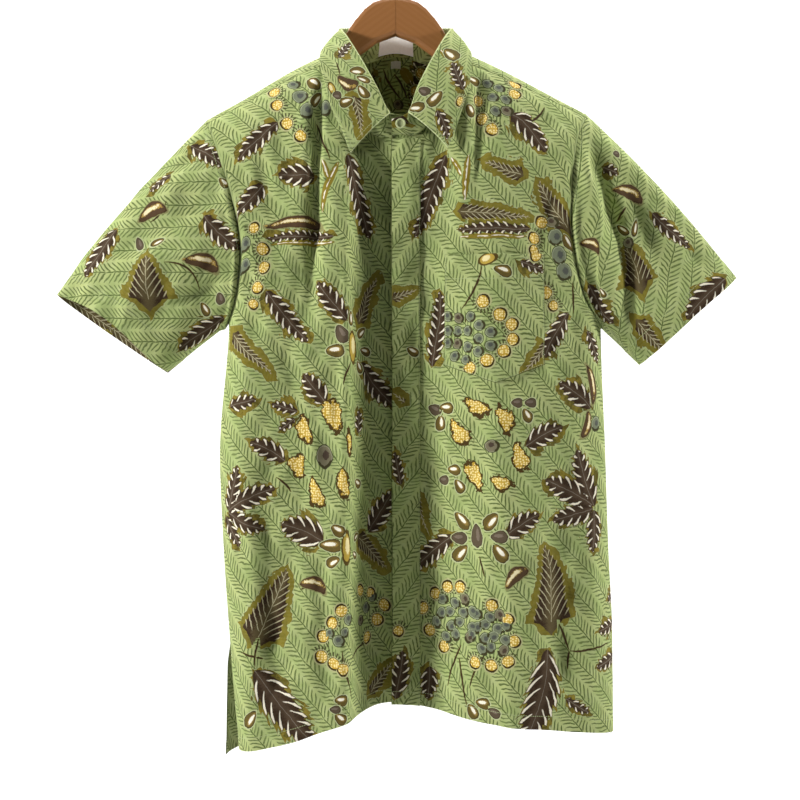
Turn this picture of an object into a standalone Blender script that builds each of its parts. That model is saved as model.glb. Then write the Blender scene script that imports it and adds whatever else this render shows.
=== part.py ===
"""A short-sleeved batik shirt on a wooden hanger, ready to hang from a rail.

The origin is the inside of the hook's crown, where a rail carries the hanger.
+X is the wearer's left, -Y is the front of the shirt and +Z is up.
Tables and sizes are in millimetres and degrees; "down" is the distance below the origin.
Names follow the wearer: the right front and right sleeve lie at -X.
"""

import math

import bmesh
import bpy
import numpy as np

MM = 0.001

# Cloth
CLOTH = 1.0            # wall of one layer
SEAM_GAP = 0.36        # between two pieces at a seam
PULL = 0.5             # share of the gap that each piece gives up at a seam
SHARP_MEETING = -0.25  # walls that meet more sharply than this, as at the underarm, are not averaged
LAYER_GAP = 0.35       # between a panel and what lies on it

# Shoulders: the cloth turns over the ridge like a quarter ellipse on each side
FRONT_ROLL = 120.0     # height of the front quarter
BACK_ROLL = 100.0      # height of the back quarter
FRONT_SEAM_TURN_SHOULDER = -18.0  # yoke's front seam at the armhole, in degrees of turn from the ridge
SECTION_POWER = 2.6    # 2 is an ellipse, more is boxier

# Front opening
UNDER_EDGE = 22.0      # x of the right front's edge, which lies beneath
OVER_EDGE = -4.0       # x of the left front's edge, which lies on top
TROUGH = -16.0         # x where the right front reaches the bottom of the centre fold
PLACKET_WIDTH = 32.0
VENT_TOP = 807.0
VENT_SPREAD = 4.0      # half the opening of the side vents

# Pocket
POCKET_INNER_X = 56.0
POCKET_WIDTH = 110.0
POCKET_TOP = 366.0
POCKET_SIDE = 124.0
POCKET_POINT = 20.0
POCKET_GAP = 1.0       # the flat facets of pocket and front cross at a slant, so it stands off a little more
PLACKET_TOP_TRIM = 0.06    # share of the first row left bare under the collar

# Sleeves
HEAD_LIFT = 6.0        # rounding of the sleeve's top line
CUFF_DEPTH = 30.0      # half the thickness of the open cuff
CUFF_BACK_DROP = 6.0   # the back of the cuff hangs this much lower

# Button
BUTTON_RADIUS = 5.7
BUTTON_THICKNESS = 2.6
BUTTON_SHANK = 2.0
BUTTON_X = 5.5
BUTTON_DOWN = 223.0

# Labels on the inside of the neck
LABEL_WIDTH = 42.0
LABEL_TOP = 0.85       # share of the stand's height
LABEL_FOOT = 0.10
TAB_WIDTH = 12.0
TAB_GAP = 1.15
LABEL_THICKNESS = 0.6
LABEL_GAP = 0.6

# Hanger
ARM_THICKNESS = 14.0
ARM_EDGE = 5.0
ARM_JOINT_GAP = 0.3
ARM_SEAT = 1.7         # under the ridge of the yoke
ARM_HEIGHT = 34.0
ARM_TIP = 212.0
HOOK_WIRE = 2.0        # radius
HOOK_RADIUS = 22.0     # to the middle of the wire
HOOK_HOLE = 2.4
HOOK_DEPTH = 18.0      # stem inside the wood
HOOK_SIDES = 12


def table(columns, *rows):
    """Rows of numbers under named columns; the first column is the key."""
    return {name: np.array([row[i] for row in rows], float) for i, name in enumerate(columns.split())}


BODY = table(
    "down   right  left  front  back",
    (90,    -262,  275,  62,    52),
    (300,   -235,  265,  62,    52),
    (360,   -217,  250,  62,    50),
    (400,   -201,  243,  62,    49),
    (441,   -193,  237,  62,    48),
    (590,   -203,  242,  63,    47),
    (690,   -199,  245,  62,    46),
    (807,   -191,  250,  60,    45),
    (950,   -178,  250,  58,    44),
)

RIDGE = table(
    "x      down",
    (-275,  255),
    (-240,  222),
    (-219,  206.5),
    (-175,  182),
    (-115,  147),
    (-77,   128.5),
    (-40,   110),
    (0,     92),
    (40,    110),
    (77,    127),
    (120,   147),
    (187,   182),
    (222,   200.5),
    (250,   220),
    (285,   255),
)

# The deep soft fold at the centre front: where the right front starts to fall back, how far each
# front falls back, and where the left front is out again.
CENTRE_FOLD = table(
    "down   crest  under  over  swell",
    (150,   -58,   5,     0,    60),
    (236,   -56,   17,    5,    92),
    (290,   -55,   29,    12,   104),
    (360,   -54,   35,    18,   110),
    (430,   -53,   39,    25,   114),
    (530,   -52,   45,    34,   118),
    (640,   -51,   50,    42,   122),
    (760,   -51,   54,    46,   126),
    (950,   -54,   56,    49,   130),
)

# The yoke's back seam, from the right armhole to the left
YOKE_BACK = table(
    "across  down",
    (0,      262),
    (0.25,   254),
    (0.5,    251),
    (0.75,   254),
    (1,      262),
)

ARMHOLE_RIGHT = table(
    "down    front   back",
    (205,    -220,   -220),
    (237,    -206,   -211),
    (268,    -195,   -203),
    (298,    -185,   -196),
    (360,    -174.5, -188),
    (394,    -177.5, -188),
    (425,    -184.5, -190),
    (441,    -193,   -193),
)

ARMHOLE_LEFT = table(
    "down    front  back",
    (199,    222,   222),
    (234,    206,   214),
    (286,    198,   206),
    (324,    196,   203),
    (351,    199,   204),
    (379,    204,   209),
    (402,    210,   214),
    (425,    221,   224),
    (441,    237,   237),
)

FRONT_HEM = table(
    "x      down",
    (-200,  932),
    (-178,  929),
    (-120,  914),
    (-50,   888),
    (-16,   880),
    (5,     877),
    (40,    881),
    (85,    889),
    (170,   897),
    (250,   908),
)

BACK_HEM = table(
    "x      down",
    (-197,  940),
    (-120,  916),
    (0,     886),
    (120,   902),
    (250,   915),
)

# Side edges of the back below the vents
BACK_VENT = table(
    "down   right  left",
    (807,   -191,  250),
    (840,   -195,  250),
    (950,   -197,  250),
)

# The collar, from the end beneath, round the neck, to the end on top. The stand rises from the
# seam to the fold, and the leaf falls from the fold to its edge.
COLLAR = table(
    "station  seam_x  seam_turn  fold_x  fold_y  fold_down  edge_x  edge_y  edge_down",
    (0,       22,     -97,       22,     -58.5,  213,       -30,    -66,    270),
    (1,       3,      -101,      5,      -59.5,  212,       -40,    -66.5,  262),
    (2,       -16,    -98,       -6,     -63.5,  211,       -49.5,  -67,    255.5),
    (3,       -40,    -83,       -20,    -60,    184,       -60,    -66,    230),
    (4,       -60,    -65,       -40,    -47,    146,       -72,    -63.5,  204),
    (5,       -73,    -44,       -56,    -27,    117,       -84,    -52,    169),
    (6,       -77,    -20,       -63,    -8,     104,       -92,    -30,    139),
    (7,       -77.5,  0,         -64,    6,      100,       -93,    0,      128),
    (8,       -72,    18,        -59,    22,     95.5,      -84,    26,     131),
    (9,       -52,    34,        -42,    36,     91.5,      -58,    38,     136),
    (10,      -26,    43,        -22,    41.5,   89.5,      -28,    46,     138),
    (11,      0,      46,        1,      43,     89,        1,      48.5,   138.5),
    (12,      26,     43,        24,     41.5,   89.5,      30,     46,     138),
    (13,      52,     34,        44,     36,     91.5,      60,     38,     136),
    (14,      72,     18,        61,     22,     95.5,      85,     26,     130),
    (15,      77.5,   0,         65,     6,      100,       93,     0,      127),
    (16,      77,     -20,       64,     -8,     104,       92,     -30,    138),
    (17,      73,     -44,       57,     -27,    117,       86,     -52,    168),
    (18,      60,     -65,       42,     -47,    146,       77,     -64,    202),
    (19,      40,     -83,       24,     -60,    184,       68,     -66,    227),
    (20,      18,     -98,       14,     -66.5,  211,       58,     -67.5,  250),
    (21,      -4,     -101,      -4,     -67.5,  218.5,     45,     -66,    262),
)
PLACKET_STATION = 19.55    # where the placket's stitched side meets the neck
UNDER_NECK_END = 0.0
RIGHT_YOKE_CORNER = 5.5
LEFT_YOKE_CORNER = 16.5
OVER_NECK_END = 21.0
LEAF_START = 2.0
LEAF_END = 20.0
NECK_CENTRE = (1.0, -12.0)
LEAF_GAP = 1.8

# Corners of the open cuffs (x, down)
CUFFS = {
    "sleeve_right": {"top": (-391, 408), "foot": (-264, 496)},
    "sleeve_left": {"top": (393, 388), "foot": (283, 487)},
}

# The largest folds of the sleeves: place along the sleeve, place round it (0 top, 90 front), and size
SLEEVE_FOLDS = {
    "sleeve_right": table(
        "along  round  depth  length_share  width",
        (0.30,  120,   7,     0.22,         34),
    ),
    "sleeve_left": table(
        "along  round  depth  length_share  width",
        (0.22,  112,   13,    0.16,         58),
        (0.60,  75,    -5,    0.25,         40),
    ),
}

# Top outline of a hanger arm from its joint to the shoulder
ARM_CROWN = table(
    "x     down",
    (0,    63),
    (20,   66.5),
    (36,   77),
    (47,   90),
    (60,   110),
    (65,   121),
    (70,   130.5),
    (77,   134),
)
ARM_FOOT_CENTRE = 108.0

# How finely the panels are divided
COLUMNS_UNDER_NECK = 6
COLUMNS_OVER_NECK = 6
PLACKET_COLUMNS = 2
COLUMNS_SHOULDER = 8
COLUMNS_YOKE_NECK = 12
COLUMNS_BACK = 2 * COLUMNS_SHOULDER + COLUMNS_YOKE_NECK
ROWS_ARMHOLE = 8
ROWS_BACK_ARMHOLE = 6
ROWS_SIDE = 6
ROWS_VENT = 3
ROWS_YOKE = 7
ROWS_SLEEVE = 7
ROWS_STAND = 2
ROWS_LEAF = 4
POCKET_CELLS = 9

COLOURS = {
    "cloth": (0.30, 0.36, 0.17, 1.0),
    "button": (0.42, 0.47, 0.30, 1.0),
    "label": (0.72, 0.72, 0.66, 1.0),
    "wood": (0.36, 0.17, 0.07, 1.0),
    "steel": (0.62, 0.62, 0.63, 1.0),
}
ROUGHNESS = {"cloth": 0.82, "button": 0.25, "label": 0.7, "wood": 0.38, "steel": 0.25}


# ---------------------------------------------------------------- curves and tables

def through(keys, values, x):
    """A smooth curve through (keys, values) that never overshoots them."""
    x = np.clip(np.asarray(x, float), keys[0], keys[-1])
    step = np.diff(keys)
    slope = np.diff(values) / step
    tangent = np.zeros(len(keys))
    tangent[0] = slope[0]
    tangent[-1] = slope[-1]
    for i in range(1, len(keys) - 1):
        if slope[i - 1] * slope[i] > 0:
            tangent[i] = 2 * slope[i - 1] * slope[i] / (slope[i - 1] + slope[i])
    i = np.clip(np.searchsorted(keys, x, side="right") - 1, 0, len(step) - 1)
    t = (x - keys[i]) / step[i]
    start = (1 + 2 * t) * (1 - t) ** 2 * values[i] + t * (1 - t) ** 2 * step[i] * tangent[i]
    end = t * t * (3 - 2 * t) * values[i + 1] - t * t * (1 - t) * step[i] * tangent[i + 1]
    return start + end


def read(rows, column, x):
    """A column of a table, read smoothly at key x."""
    key = next(iter(rows))
    return through(rows[key], rows[column], x)


def smooth(x, start, end):
    """0 before start, 1 after end, with a soft ramp between."""
    t = np.clip((np.asarray(x, float) - start) / (end - start), 0.0, 1.0)
    return t * t * (3 - 2 * t)


def toward_end(u):
    """Spreads 0..1 so that columns crowd towards 1, where a side turns away."""
    return u + u * u * (1 - u)


def toward_both(u):
    """Spreads 0..1 so that columns crowd towards both ends."""
    return 0.5 - 0.5 * np.cos(math.pi * np.asarray(u, float))


def patch(top, foot, first, last, across, along):
    """Fills the space between four edge curves (a Coons patch)."""
    u = across[:, None, None]
    v = along[None, :, None]
    ruled_down = (1 - v) * top[:, None, :] + v * foot[:, None, :]
    ruled_across = (1 - u) * first[None, :, :] + u * last[None, :, :]
    corners = ((1 - u) * (1 - v) * top[0] + u * (1 - v) * top[-1]
               + (1 - u) * v * foot[0] + u * v * foot[-1])
    return ruled_down + ruled_across - corners


# ---------------------------------------------------------------- the shirt's form

def side_profile(x, down, wide=BODY):
    """1 at the middle of the body and 0 at its side edges."""
    right = read(wide, "right", down)
    left = read(wide, "left", down)
    t = np.clip(np.abs(x - (right + left) / 2) / ((left - right) / 2), 0.0, 1.0)
    return (1 - t ** SECTION_POWER) ** (1 / SECTION_POWER)


def roll_height(turn):
    return np.where(turn < 0, FRONT_ROLL, BACK_ROLL)


def rolled(turn):
    """Share of the roll's height gone down at a turn in degrees; it runs on straight past 90."""
    angle = np.radians(np.abs(turn))
    return np.where(angle < math.pi / 2, 1 - np.cos(angle), 1 + angle - math.pi / 2)


def shoulder_share(drop, height):
    """How much of the full depth the cloth has reached at a drop below the ridge."""
    share = np.clip(drop / height, 0.0, 1.0)
    return np.sqrt(1 - (1 - share) ** 2)


def cloth(x, turn):
    """The point at x, turned over the shoulder: -90 faces front, 0 is the ridge, 90 faces back."""
    x = np.asarray(x, float)
    turn = np.asarray(turn, float) + np.zeros_like(x)
    down = read(RIDGE, "down", x) + roll_height(turn) * rolled(turn)
    share = np.where(np.abs(turn) < 90, np.sin(np.radians(np.abs(turn))), 1.0)
    front = -read(BODY, "front", down) * share
    back = read(BODY, "back", down) * share
    y = np.where(turn < 0, front, back) * side_profile(x, down)
    return np.stack([x, y, -down], axis=-1)


def front_point(x, down, layer):
    """The front of the body, with the centre fold; layer is "under", "over" or None."""
    share = shoulder_share(down - read(RIDGE, "down", x), FRONT_ROLL)
    y = -read(BODY, "front", down) * share * side_profile(x, down)
    if layer == "under":
        crest = read(CENTRE_FOLD, "crest", down)
        way = np.clip((x - crest) / (TROUGH - crest), 0, 1)
        way = 1.09 * way * way / (way + 0.09)
        y = y + read(CENTRE_FOLD, "under", down) * (1 - (1 - way) ** 2.2)
    if layer == "over":
        stitched = OVER_EDGE + PLACKET_WIDTH
        way = np.clip((x - stitched) / (read(CENTRE_FOLD, "swell", down) - stitched), 0, 1)
        way = 1.08 * way * way / (way + 0.08)
        y = y + read(CENTRE_FOLD, "over", down) * (1 - way) ** 1.2
    y = y - VENT_SPREAD * smooth(down, VENT_TOP, VENT_TOP + 60)
    return np.stack([x, y, -down], axis=-1)


def back_point(x, down):
    share = shoulder_share(down - read(RIDGE, "down", x), BACK_ROLL)
    spread = smooth(down, VENT_TOP, VENT_TOP + 60)
    y = read(BODY, "back", down) * share * back_profile(x, down) + VENT_SPREAD * spread
    return np.stack([x, y, -down], axis=-1)


def back_profile(x, down):
    """The back's own profile: below the vents it is wider than the front."""
    upper = side_profile(x, down)
    lower = side_profile(x, down, BACK_VENT)
    return np.where(down < VENT_TOP, upper, lower)


def neck_seam(station):
    return cloth(read(COLLAR, "seam_x", station), read(COLLAR, "seam_turn", station))


def collar_line(prefix, station):
    x = read(COLLAR, prefix + "_x", station)
    y = read(COLLAR, prefix + "_y", station)
    down = read(COLLAR, prefix + "_down", station)
    return np.stack([x, y, -down], axis=-1)


def armhole_end(armhole, face, turn):
    """Where the armhole crosses a line of constant turn over the shoulder."""
    turn = np.asarray(turn, float)
    x = np.full(turn.shape, armhole[face][0])
    for _ in range(6):
        down = read(RIDGE, "down", x) + roll_height(turn) * rolled(turn)
        x = read(armhole, face, down)
    return x


# ---------------------------------------------------------------- panels

def front_panel(neck_stations, armhole, side, edge_x, layer, across):
    """A front, as columns from the centre edge to the side and rows from the neck to the hem."""
    neck = neck_seam(neck_stations)
    corner_turn = read(COLLAR, "seam_turn", neck_stations[-1])
    shoulder_turn = np.linspace(corner_turn, FRONT_SEAM_TURN_SHOULDER, COLUMNS_SHOULDER + 1)
    end_x = armhole_end(armhole, "front", np.array([FRONT_SEAM_TURN_SHOULDER]))[0]
    shoulder_x = np.linspace(neck[-1][0], end_x, COLUMNS_SHOULDER + 1)
    seam = cloth(shoulder_x, shoulder_turn)
    top = np.concatenate([neck, seam[1:]])[:, [0, 2]]
    start = -top[-1][1]
    down = np.concatenate([
        np.linspace(start, armhole["down"][-1], ROWS_ARMHOLE + 1),
        np.linspace(armhole["down"][-1], VENT_TOP, ROWS_SIDE + 1)[1:],
        np.linspace(VENT_TOP, read(FRONT_HEM, "down", side_edge(side, 930.0)), ROWS_VENT + 1)[1:],
    ])
    outer_x = np.where(down <= armhole["down"][-1], read(armhole, "front", down), side_edge(side, down))
    along = (down - down[0]) / (down[-1] - down[0])

    hem_x = edge_x + (outer_x[-1] - edge_x) * across
    foot = np.stack([hem_x, -read(FRONT_HEM, "down", hem_x)], axis=-1)
    last = np.stack([outer_x, -down], axis=-1)
    edge_down = -top[0][1] + (-foot[0][1] + top[0][1]) * along
    edge = edge_x + (top[0][0] - edge_x) * (1 - smooth(edge_down, 236, 300))
    first = np.stack([edge, -edge_down], axis=-1)
    flat = patch(top, foot, first, last, across, along)
    grid = front_point(flat[..., 0], -flat[..., 1], layer)
    grid[:, 0] = seam_with_layer(np.concatenate([neck, seam[1:]]), layer)
    return grid


def seam_with_layer(points, layer):
    """The top seam lies on the plain form; near the centre it takes the layer's small step."""
    moved = front_point(points[:, 0], -points[:, 2], layer)
    points = points.copy()
    points[:, 1] = moved[:, 1]
    return points


def side_edge(side, down):
    return read(BODY, side, down)


def back_panel():
    """The back, as columns from the right armhole to the left and rows from the yoke to the hem."""
    across = toward_both(np.linspace(0, 1, COLUMNS_BACK + 1))
    seam = cloth(*yoke_back_seam(across))
    edges = []
    for armhole, side, end in ((ARMHOLE_RIGHT, "right", 0), (ARMHOLE_LEFT, "left", -1)):
        hem_x = BACK_VENT[side][-1]
        down = np.concatenate([
            np.linspace(-seam[end][2], armhole["down"][-1], ROWS_BACK_ARMHOLE + 1),
            np.linspace(armhole["down"][-1], VENT_TOP, ROWS_SIDE + 1)[1:],
            np.linspace(VENT_TOP, read(BACK_HEM, "down", hem_x), ROWS_VENT + 1)[1:],
        ])
        x = np.where(down <= armhole["down"][-1], read(armhole, "back", down), side_edge(side, down))
        x = np.where(down > VENT_TOP, read(BACK_VENT, side, down), x)
        edges.append(np.stack([x, -down], axis=-1))
    along = (edges[0][:, 1] - edges[0][0, 1]) / (edges[0][-1, 1] - edges[0][0, 1])
    hem_x = edges[0][-1, 0] + (edges[1][-1, 0] - edges[0][-1, 0]) * across
    foot = np.stack([hem_x, -read(BACK_HEM, "down", hem_x)], axis=-1)
    flat = patch(seam[:, [0, 2]], foot, edges[0], edges[1], across, along)
    grid = back_point(flat[..., 0], -flat[..., 1])
    grid[:, 0] = seam
    return grid


def yoke_back_seam(across):
    """x and turn of the yoke's back seam at shares of the way across."""
    down = read(YOKE_BACK, "down", across)
    right = read(ARMHOLE_RIGHT, "back", YOKE_BACK["down"][0])
    left = read(ARMHOLE_LEFT, "back", YOKE_BACK["down"][-1])
    x = right + (left - right) * across
    share = (down - read(RIDGE, "down", x)) / BACK_ROLL
    turn = np.where(share < 1, np.degrees(np.arccos(np.clip(1 - share, 0, 1))), 90 + np.degrees(share - 1))
    return x, turn


def yoke_panel():
    """The yoke, as columns from the right armhole to the left and rows from front to back."""
    stations = np.linspace(RIGHT_YOKE_CORNER, LEFT_YOKE_CORNER, COLUMNS_YOKE_NECK + 1)
    neck_x = read(COLLAR, "seam_x", stations)
    neck_turn = read(COLLAR, "seam_turn", stations)
    right_turn = np.linspace(FRONT_SEAM_TURN_SHOULDER, neck_turn[0], COLUMNS_SHOULDER + 1)
    left_turn = np.linspace(neck_turn[-1], FRONT_SEAM_TURN_SHOULDER, COLUMNS_SHOULDER + 1)
    ends = [armhole_end(armhole, "front", np.array([FRONT_SEAM_TURN_SHOULDER]))[0]
            for armhole in (ARMHOLE_RIGHT, ARMHOLE_LEFT)]
    right_x = np.linspace(ends[0], neck_x[0], COLUMNS_SHOULDER + 1)
    left_x = np.linspace(neck_x[-1], ends[1], COLUMNS_SHOULDER + 1)
    top = np.stack([np.concatenate([right_x, neck_x[1:], left_x[1:]]),
                    np.concatenate([right_turn, neck_turn[1:], left_turn[1:]])], axis=-1)
    across = toward_both(np.linspace(0, 1, len(top)))
    foot = np.stack(yoke_back_seam(across), axis=-1)
    edges = []
    for armhole, end in ((ARMHOLE_RIGHT, foot[0]), (ARMHOLE_LEFT, foot[-1])):
        turns = np.linspace(FRONT_SEAM_TURN_SHOULDER, end[1], ROWS_YOKE + 1)
        face_x = np.where(turns < 0, armhole_end(armhole, "front", turns), armhole_end(armhole, "back", turns))
        face_x[-1] = end[0]
        edges.append(np.stack([face_x, turns], axis=-1))
    along = np.linspace(0, 1, ROWS_YOKE + 1)
    flat = patch(top, foot, edges[0], edges[1], across, along)
    return cloth(flat[..., 0], flat[..., 1])


def armhole_ring(front, yoke, back, side):
    """Seam points round an armhole from the underarm, up the front, over and down the back."""
    front_edge = front[-1, :ROWS_ARMHOLE + 1][::-1]
    yoke_edge = yoke[0] if side == "right" else yoke[-1]
    back_edge = back[0, :ROWS_BACK_ARMHOLE + 1] if side == "right" else back[-1, :ROWS_BACK_ARMHOLE + 1]
    return np.concatenate([front_edge, yoke_edge[1:], back_edge[1:-1]])


def sleeve_panel(name, ring):
    """A sleeve, as columns round the armhole and rows from the armhole to the open cuff."""
    cuff = CUFFS[name]
    top_index = int(np.argmax(ring[:, 2]))
    length = np.concatenate([[0], np.cumsum(np.linalg.norm(np.diff(np.vstack([ring, ring[:1]]), axis=0), axis=1))])
    front_share = length[:-1] / length[top_index]
    back_share = (length[:-1] - length[top_index]) / (length[-1] - length[top_index])
    # round runs 0 at the ridge, 90 at the front, 180 at the underarm, 270 at the back
    round_at = np.where(np.arange(len(ring)) <= top_index, 180 * (1 - front_share), 360 - 180 * back_share)
    angle = np.radians(round_at)
    fall = (1 - np.cos(angle)) / 2
    thick = np.sign(np.sin(angle)) * np.abs(np.sin(angle)) ** 0.75
    cuff_x = cuff["top"][0] + (cuff["foot"][0] - cuff["top"][0]) * fall
    cuff_down = cuff["top"][1] + (cuff["foot"][1] - cuff["top"][1]) * fall
    cuff_down = cuff_down + CUFF_BACK_DROP * np.clip(-thick, 0, 1)
    end = np.stack([cuff_x, -CUFF_DEPTH * thick, -cuff_down], axis=-1)

    along = np.linspace(0, 1, ROWS_SLEEVE + 1)
    grid = ring[:, None, :] * (1 - along)[None, :, None] + end[:, None, :] * along[None, :, None]
    outward = np.sign(cuff["top"][0])
    head = HEAD_LIFT * np.sin(math.pi * along)[None, :] * (np.clip(np.cos(angle), 0, 1) ** 2)[:, None]
    grid[..., 0] += outward * 0.75 * head
    grid[..., 2] += 0.66 * head
    folds = SLEEVE_FOLDS[name]
    for i in range(len(folds["along"])):
        near = np.exp(-((along - folds["along"][i]) / folds["length_share"][i]) ** 2)
        near = near * np.sin(math.pi * along) ** 0.5
        about = np.exp(-((round_at - folds["round"][i]) / folds["width"][i]) ** 2)
        grid[..., 1] += folds["depth"][i] * about[:, None] * near[None, :]
    return grid


def stand_panel(neck_points, stations):
    """The collar stand, from the neck seam up to the fold line."""
    fold = collar_line("fold", stations)
    rise = np.linspace(0, 1, ROWS_STAND + 1)[None, :, None]
    return neck_points[:, None, :] * (1 - rise) + fold[:, None, :] * rise


def leaf_panel():
    """The collar leaf, from just outside the fold line over and down to its free edge."""
    stations = np.linspace(LEAF_START, LEAF_END, 25)
    fold = collar_line("fold", stations)
    edge = collar_line("edge", stations)
    out = fold[:, :2] - np.array(NECK_CENTRE)
    out = out / np.linalg.norm(out, axis=1)[:, None]
    out = np.concatenate([out, np.zeros((len(out), 1))], axis=1)
    up = np.array([0.0, 0.0, 1.0])
    base = fold + out * (CLOTH + LEAF_GAP) + up * 0.2
    fall = np.linspace(0, 1, ROWS_LEAF + 1)
    lift = 5.0 * np.sin(math.pi * fall) ** 0.8
    grid = base[:, None, :] * (1 - fall)[None, :, None] + edge[:, None, :] * fall[None, :, None]
    grid += (out * 0.8 + up * 0.5)[:, None, :] * lift[None, :, None]
    return grid[::-1]


# ---------------------------------------------------------------- walls

def face_normals(grid, closed):
    """Area-weighted normals at each point of a grid."""
    count = len(grid)
    normals = np.zeros_like(grid)
    for i in range(count if closed else count - 1):
        j = (i + 1) % count
        a, b = grid[i, :-1], grid[j, :-1]
        c, d = grid[j, 1:], grid[i, 1:]
        cross = np.cross(c - a, d - b)
        normals[i, :-1] += cross
        normals[j, :-1] += cross
        normals[j, 1:] += cross
        normals[i, 1:] += cross
    return normals


def key(point):
    return tuple(np.round(point, 1))


def shared_normals(panels):
    """The outward direction at each point, averaged with the panels that meet there smoothly."""
    units = {}
    meeting = {}
    for name, (grid, closed) in panels.items():
        normals = face_normals(grid, closed)
        units[name] = normals / np.linalg.norm(normals, axis=-1)[..., None]
        for point, unit in zip(grid.reshape(-1, 3), units[name].reshape(-1, 3)):
            meeting.setdefault(key(point), []).append(unit)
    result = {}
    for name, (grid, _) in panels.items():
        averaged = []
        for point, unit in zip(grid.reshape(-1, 3), units[name].reshape(-1, 3)):
            near = [other for other in meeting[key(point)] if np.dot(other, unit) > SHARP_MEETING]
            total = np.sum(near, axis=0)
            averaged.append(total / np.linalg.norm(total))
        result[name] = np.array(averaged).reshape(grid.shape)
    return result


def pull_edge(edge, inner, normals, closed):
    """Moves a seam edge into its panel by its share of the gap, square to the seam and to the wall."""
    if closed:
        along = np.roll(edge, -1, axis=0) - np.roll(edge, 1, axis=0)
    else:
        along = np.gradient(edge, axis=0)
    along = along / np.linalg.norm(along, axis=-1)[..., None]
    square = np.cross(along, normals)
    square = square / np.linalg.norm(square, axis=-1)[..., None]
    inward = np.sign(np.sum(square * (inner - edge), axis=-1))[..., None]
    return edge + square * inward * SEAM_GAP * PULL


def pull_in(grid, closed, edges):
    """Moves the named edges of a grid inwards at their seams."""
    normals = face_normals(grid, closed)
    normals = normals / np.linalg.norm(normals, axis=-1)[..., None]
    result = grid.copy()
    if "top" in edges:
        result[:, 0] = pull_edge(grid[:, 0], grid[:, 1], normals[:, 0], closed)
    if "foot" in edges:
        result[:, -1] = pull_edge(grid[:, -1], grid[:, -2], normals[:, -1], closed)
    if "first" in edges:
        shift = pull_edge(grid[0], grid[1], normals[0], False) - grid[0]
        result[0] += shift
    if "last" in edges:
        shift = pull_edge(grid[-1], grid[-2], normals[-1], False) - grid[-1]
        result[-1] += shift
    return result


def wall(name, outer, normals, material, closed=False, thickness=CLOTH):
    """A closed solid between a grid of points and the same grid moved in by its thickness."""
    inner = outer - normals * thickness
    columns, rows = outer.shape[:2]
    mesh = bmesh.new()
    outside = [[mesh.verts.new(outer[i, j] * MM) for j in range(rows)] for i in range(columns)]
    inside = [[mesh.verts.new(inner[i, j] * MM) for j in range(rows)] for i in range(columns)]
    for i in range(columns if closed else columns - 1):
        k = (i + 1) % columns
        for j in range(rows - 1):
            mesh.faces.new((outside[i][j], outside[k][j], outside[k][j + 1], outside[i][j + 1]))
            mesh.faces.new((inside[i][j + 1], inside[k][j + 1], inside[k][j], inside[i][j]))
        mesh.faces.new((outside[k][0], outside[i][0], inside[i][0], inside[k][0]))
        mesh.faces.new((outside[i][-1], outside[k][-1], inside[k][-1], inside[i][-1]))
    if not closed:
        for j in range(rows - 1):
            mesh.faces.new((outside[0][j], outside[0][j + 1], inside[0][j + 1], inside[0][j]))
            mesh.faces.new((outside[-1][j + 1], outside[-1][j], inside[-1][j], inside[-1][j + 1]))
    bmesh.ops.triangulate(mesh, faces=mesh.faces[:])
    bmesh.ops.recalc_face_normals(mesh, faces=mesh.faces[:])
    return finish_mesh(name, mesh, material)


def finish_mesh(name, mesh, material):
    data = bpy.data.meshes.new(name)
    mesh.to_mesh(data)
    mesh.free()
    data.materials.append(material)
    data.shade_smooth()
    data.set_sharp_from_angle(angle=math.radians(50))
    piece = bpy.data.objects.new(name, data)
    bpy.context.scene.collection.objects.link(piece)
    return piece


def laid_on(grid, normals, distance):
    """The points of a grid moved out along its normals."""
    return grid + normals * distance


# ---------------------------------------------------------------- materials

def make_material(name):
    material = bpy.data.materials.new(name)
    material.use_nodes = True
    shader = material.node_tree.nodes["Principled BSDF"]
    shader.inputs["Base Color"].default_value = COLOURS[name]
    shader.inputs["Roughness"].default_value = ROUGHNESS[name]
    shader.inputs["Metallic"].default_value = 1.0 if name == "steel" else 0.0
    return material


# ---------------------------------------------------------------- pieces of the shirt

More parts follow.
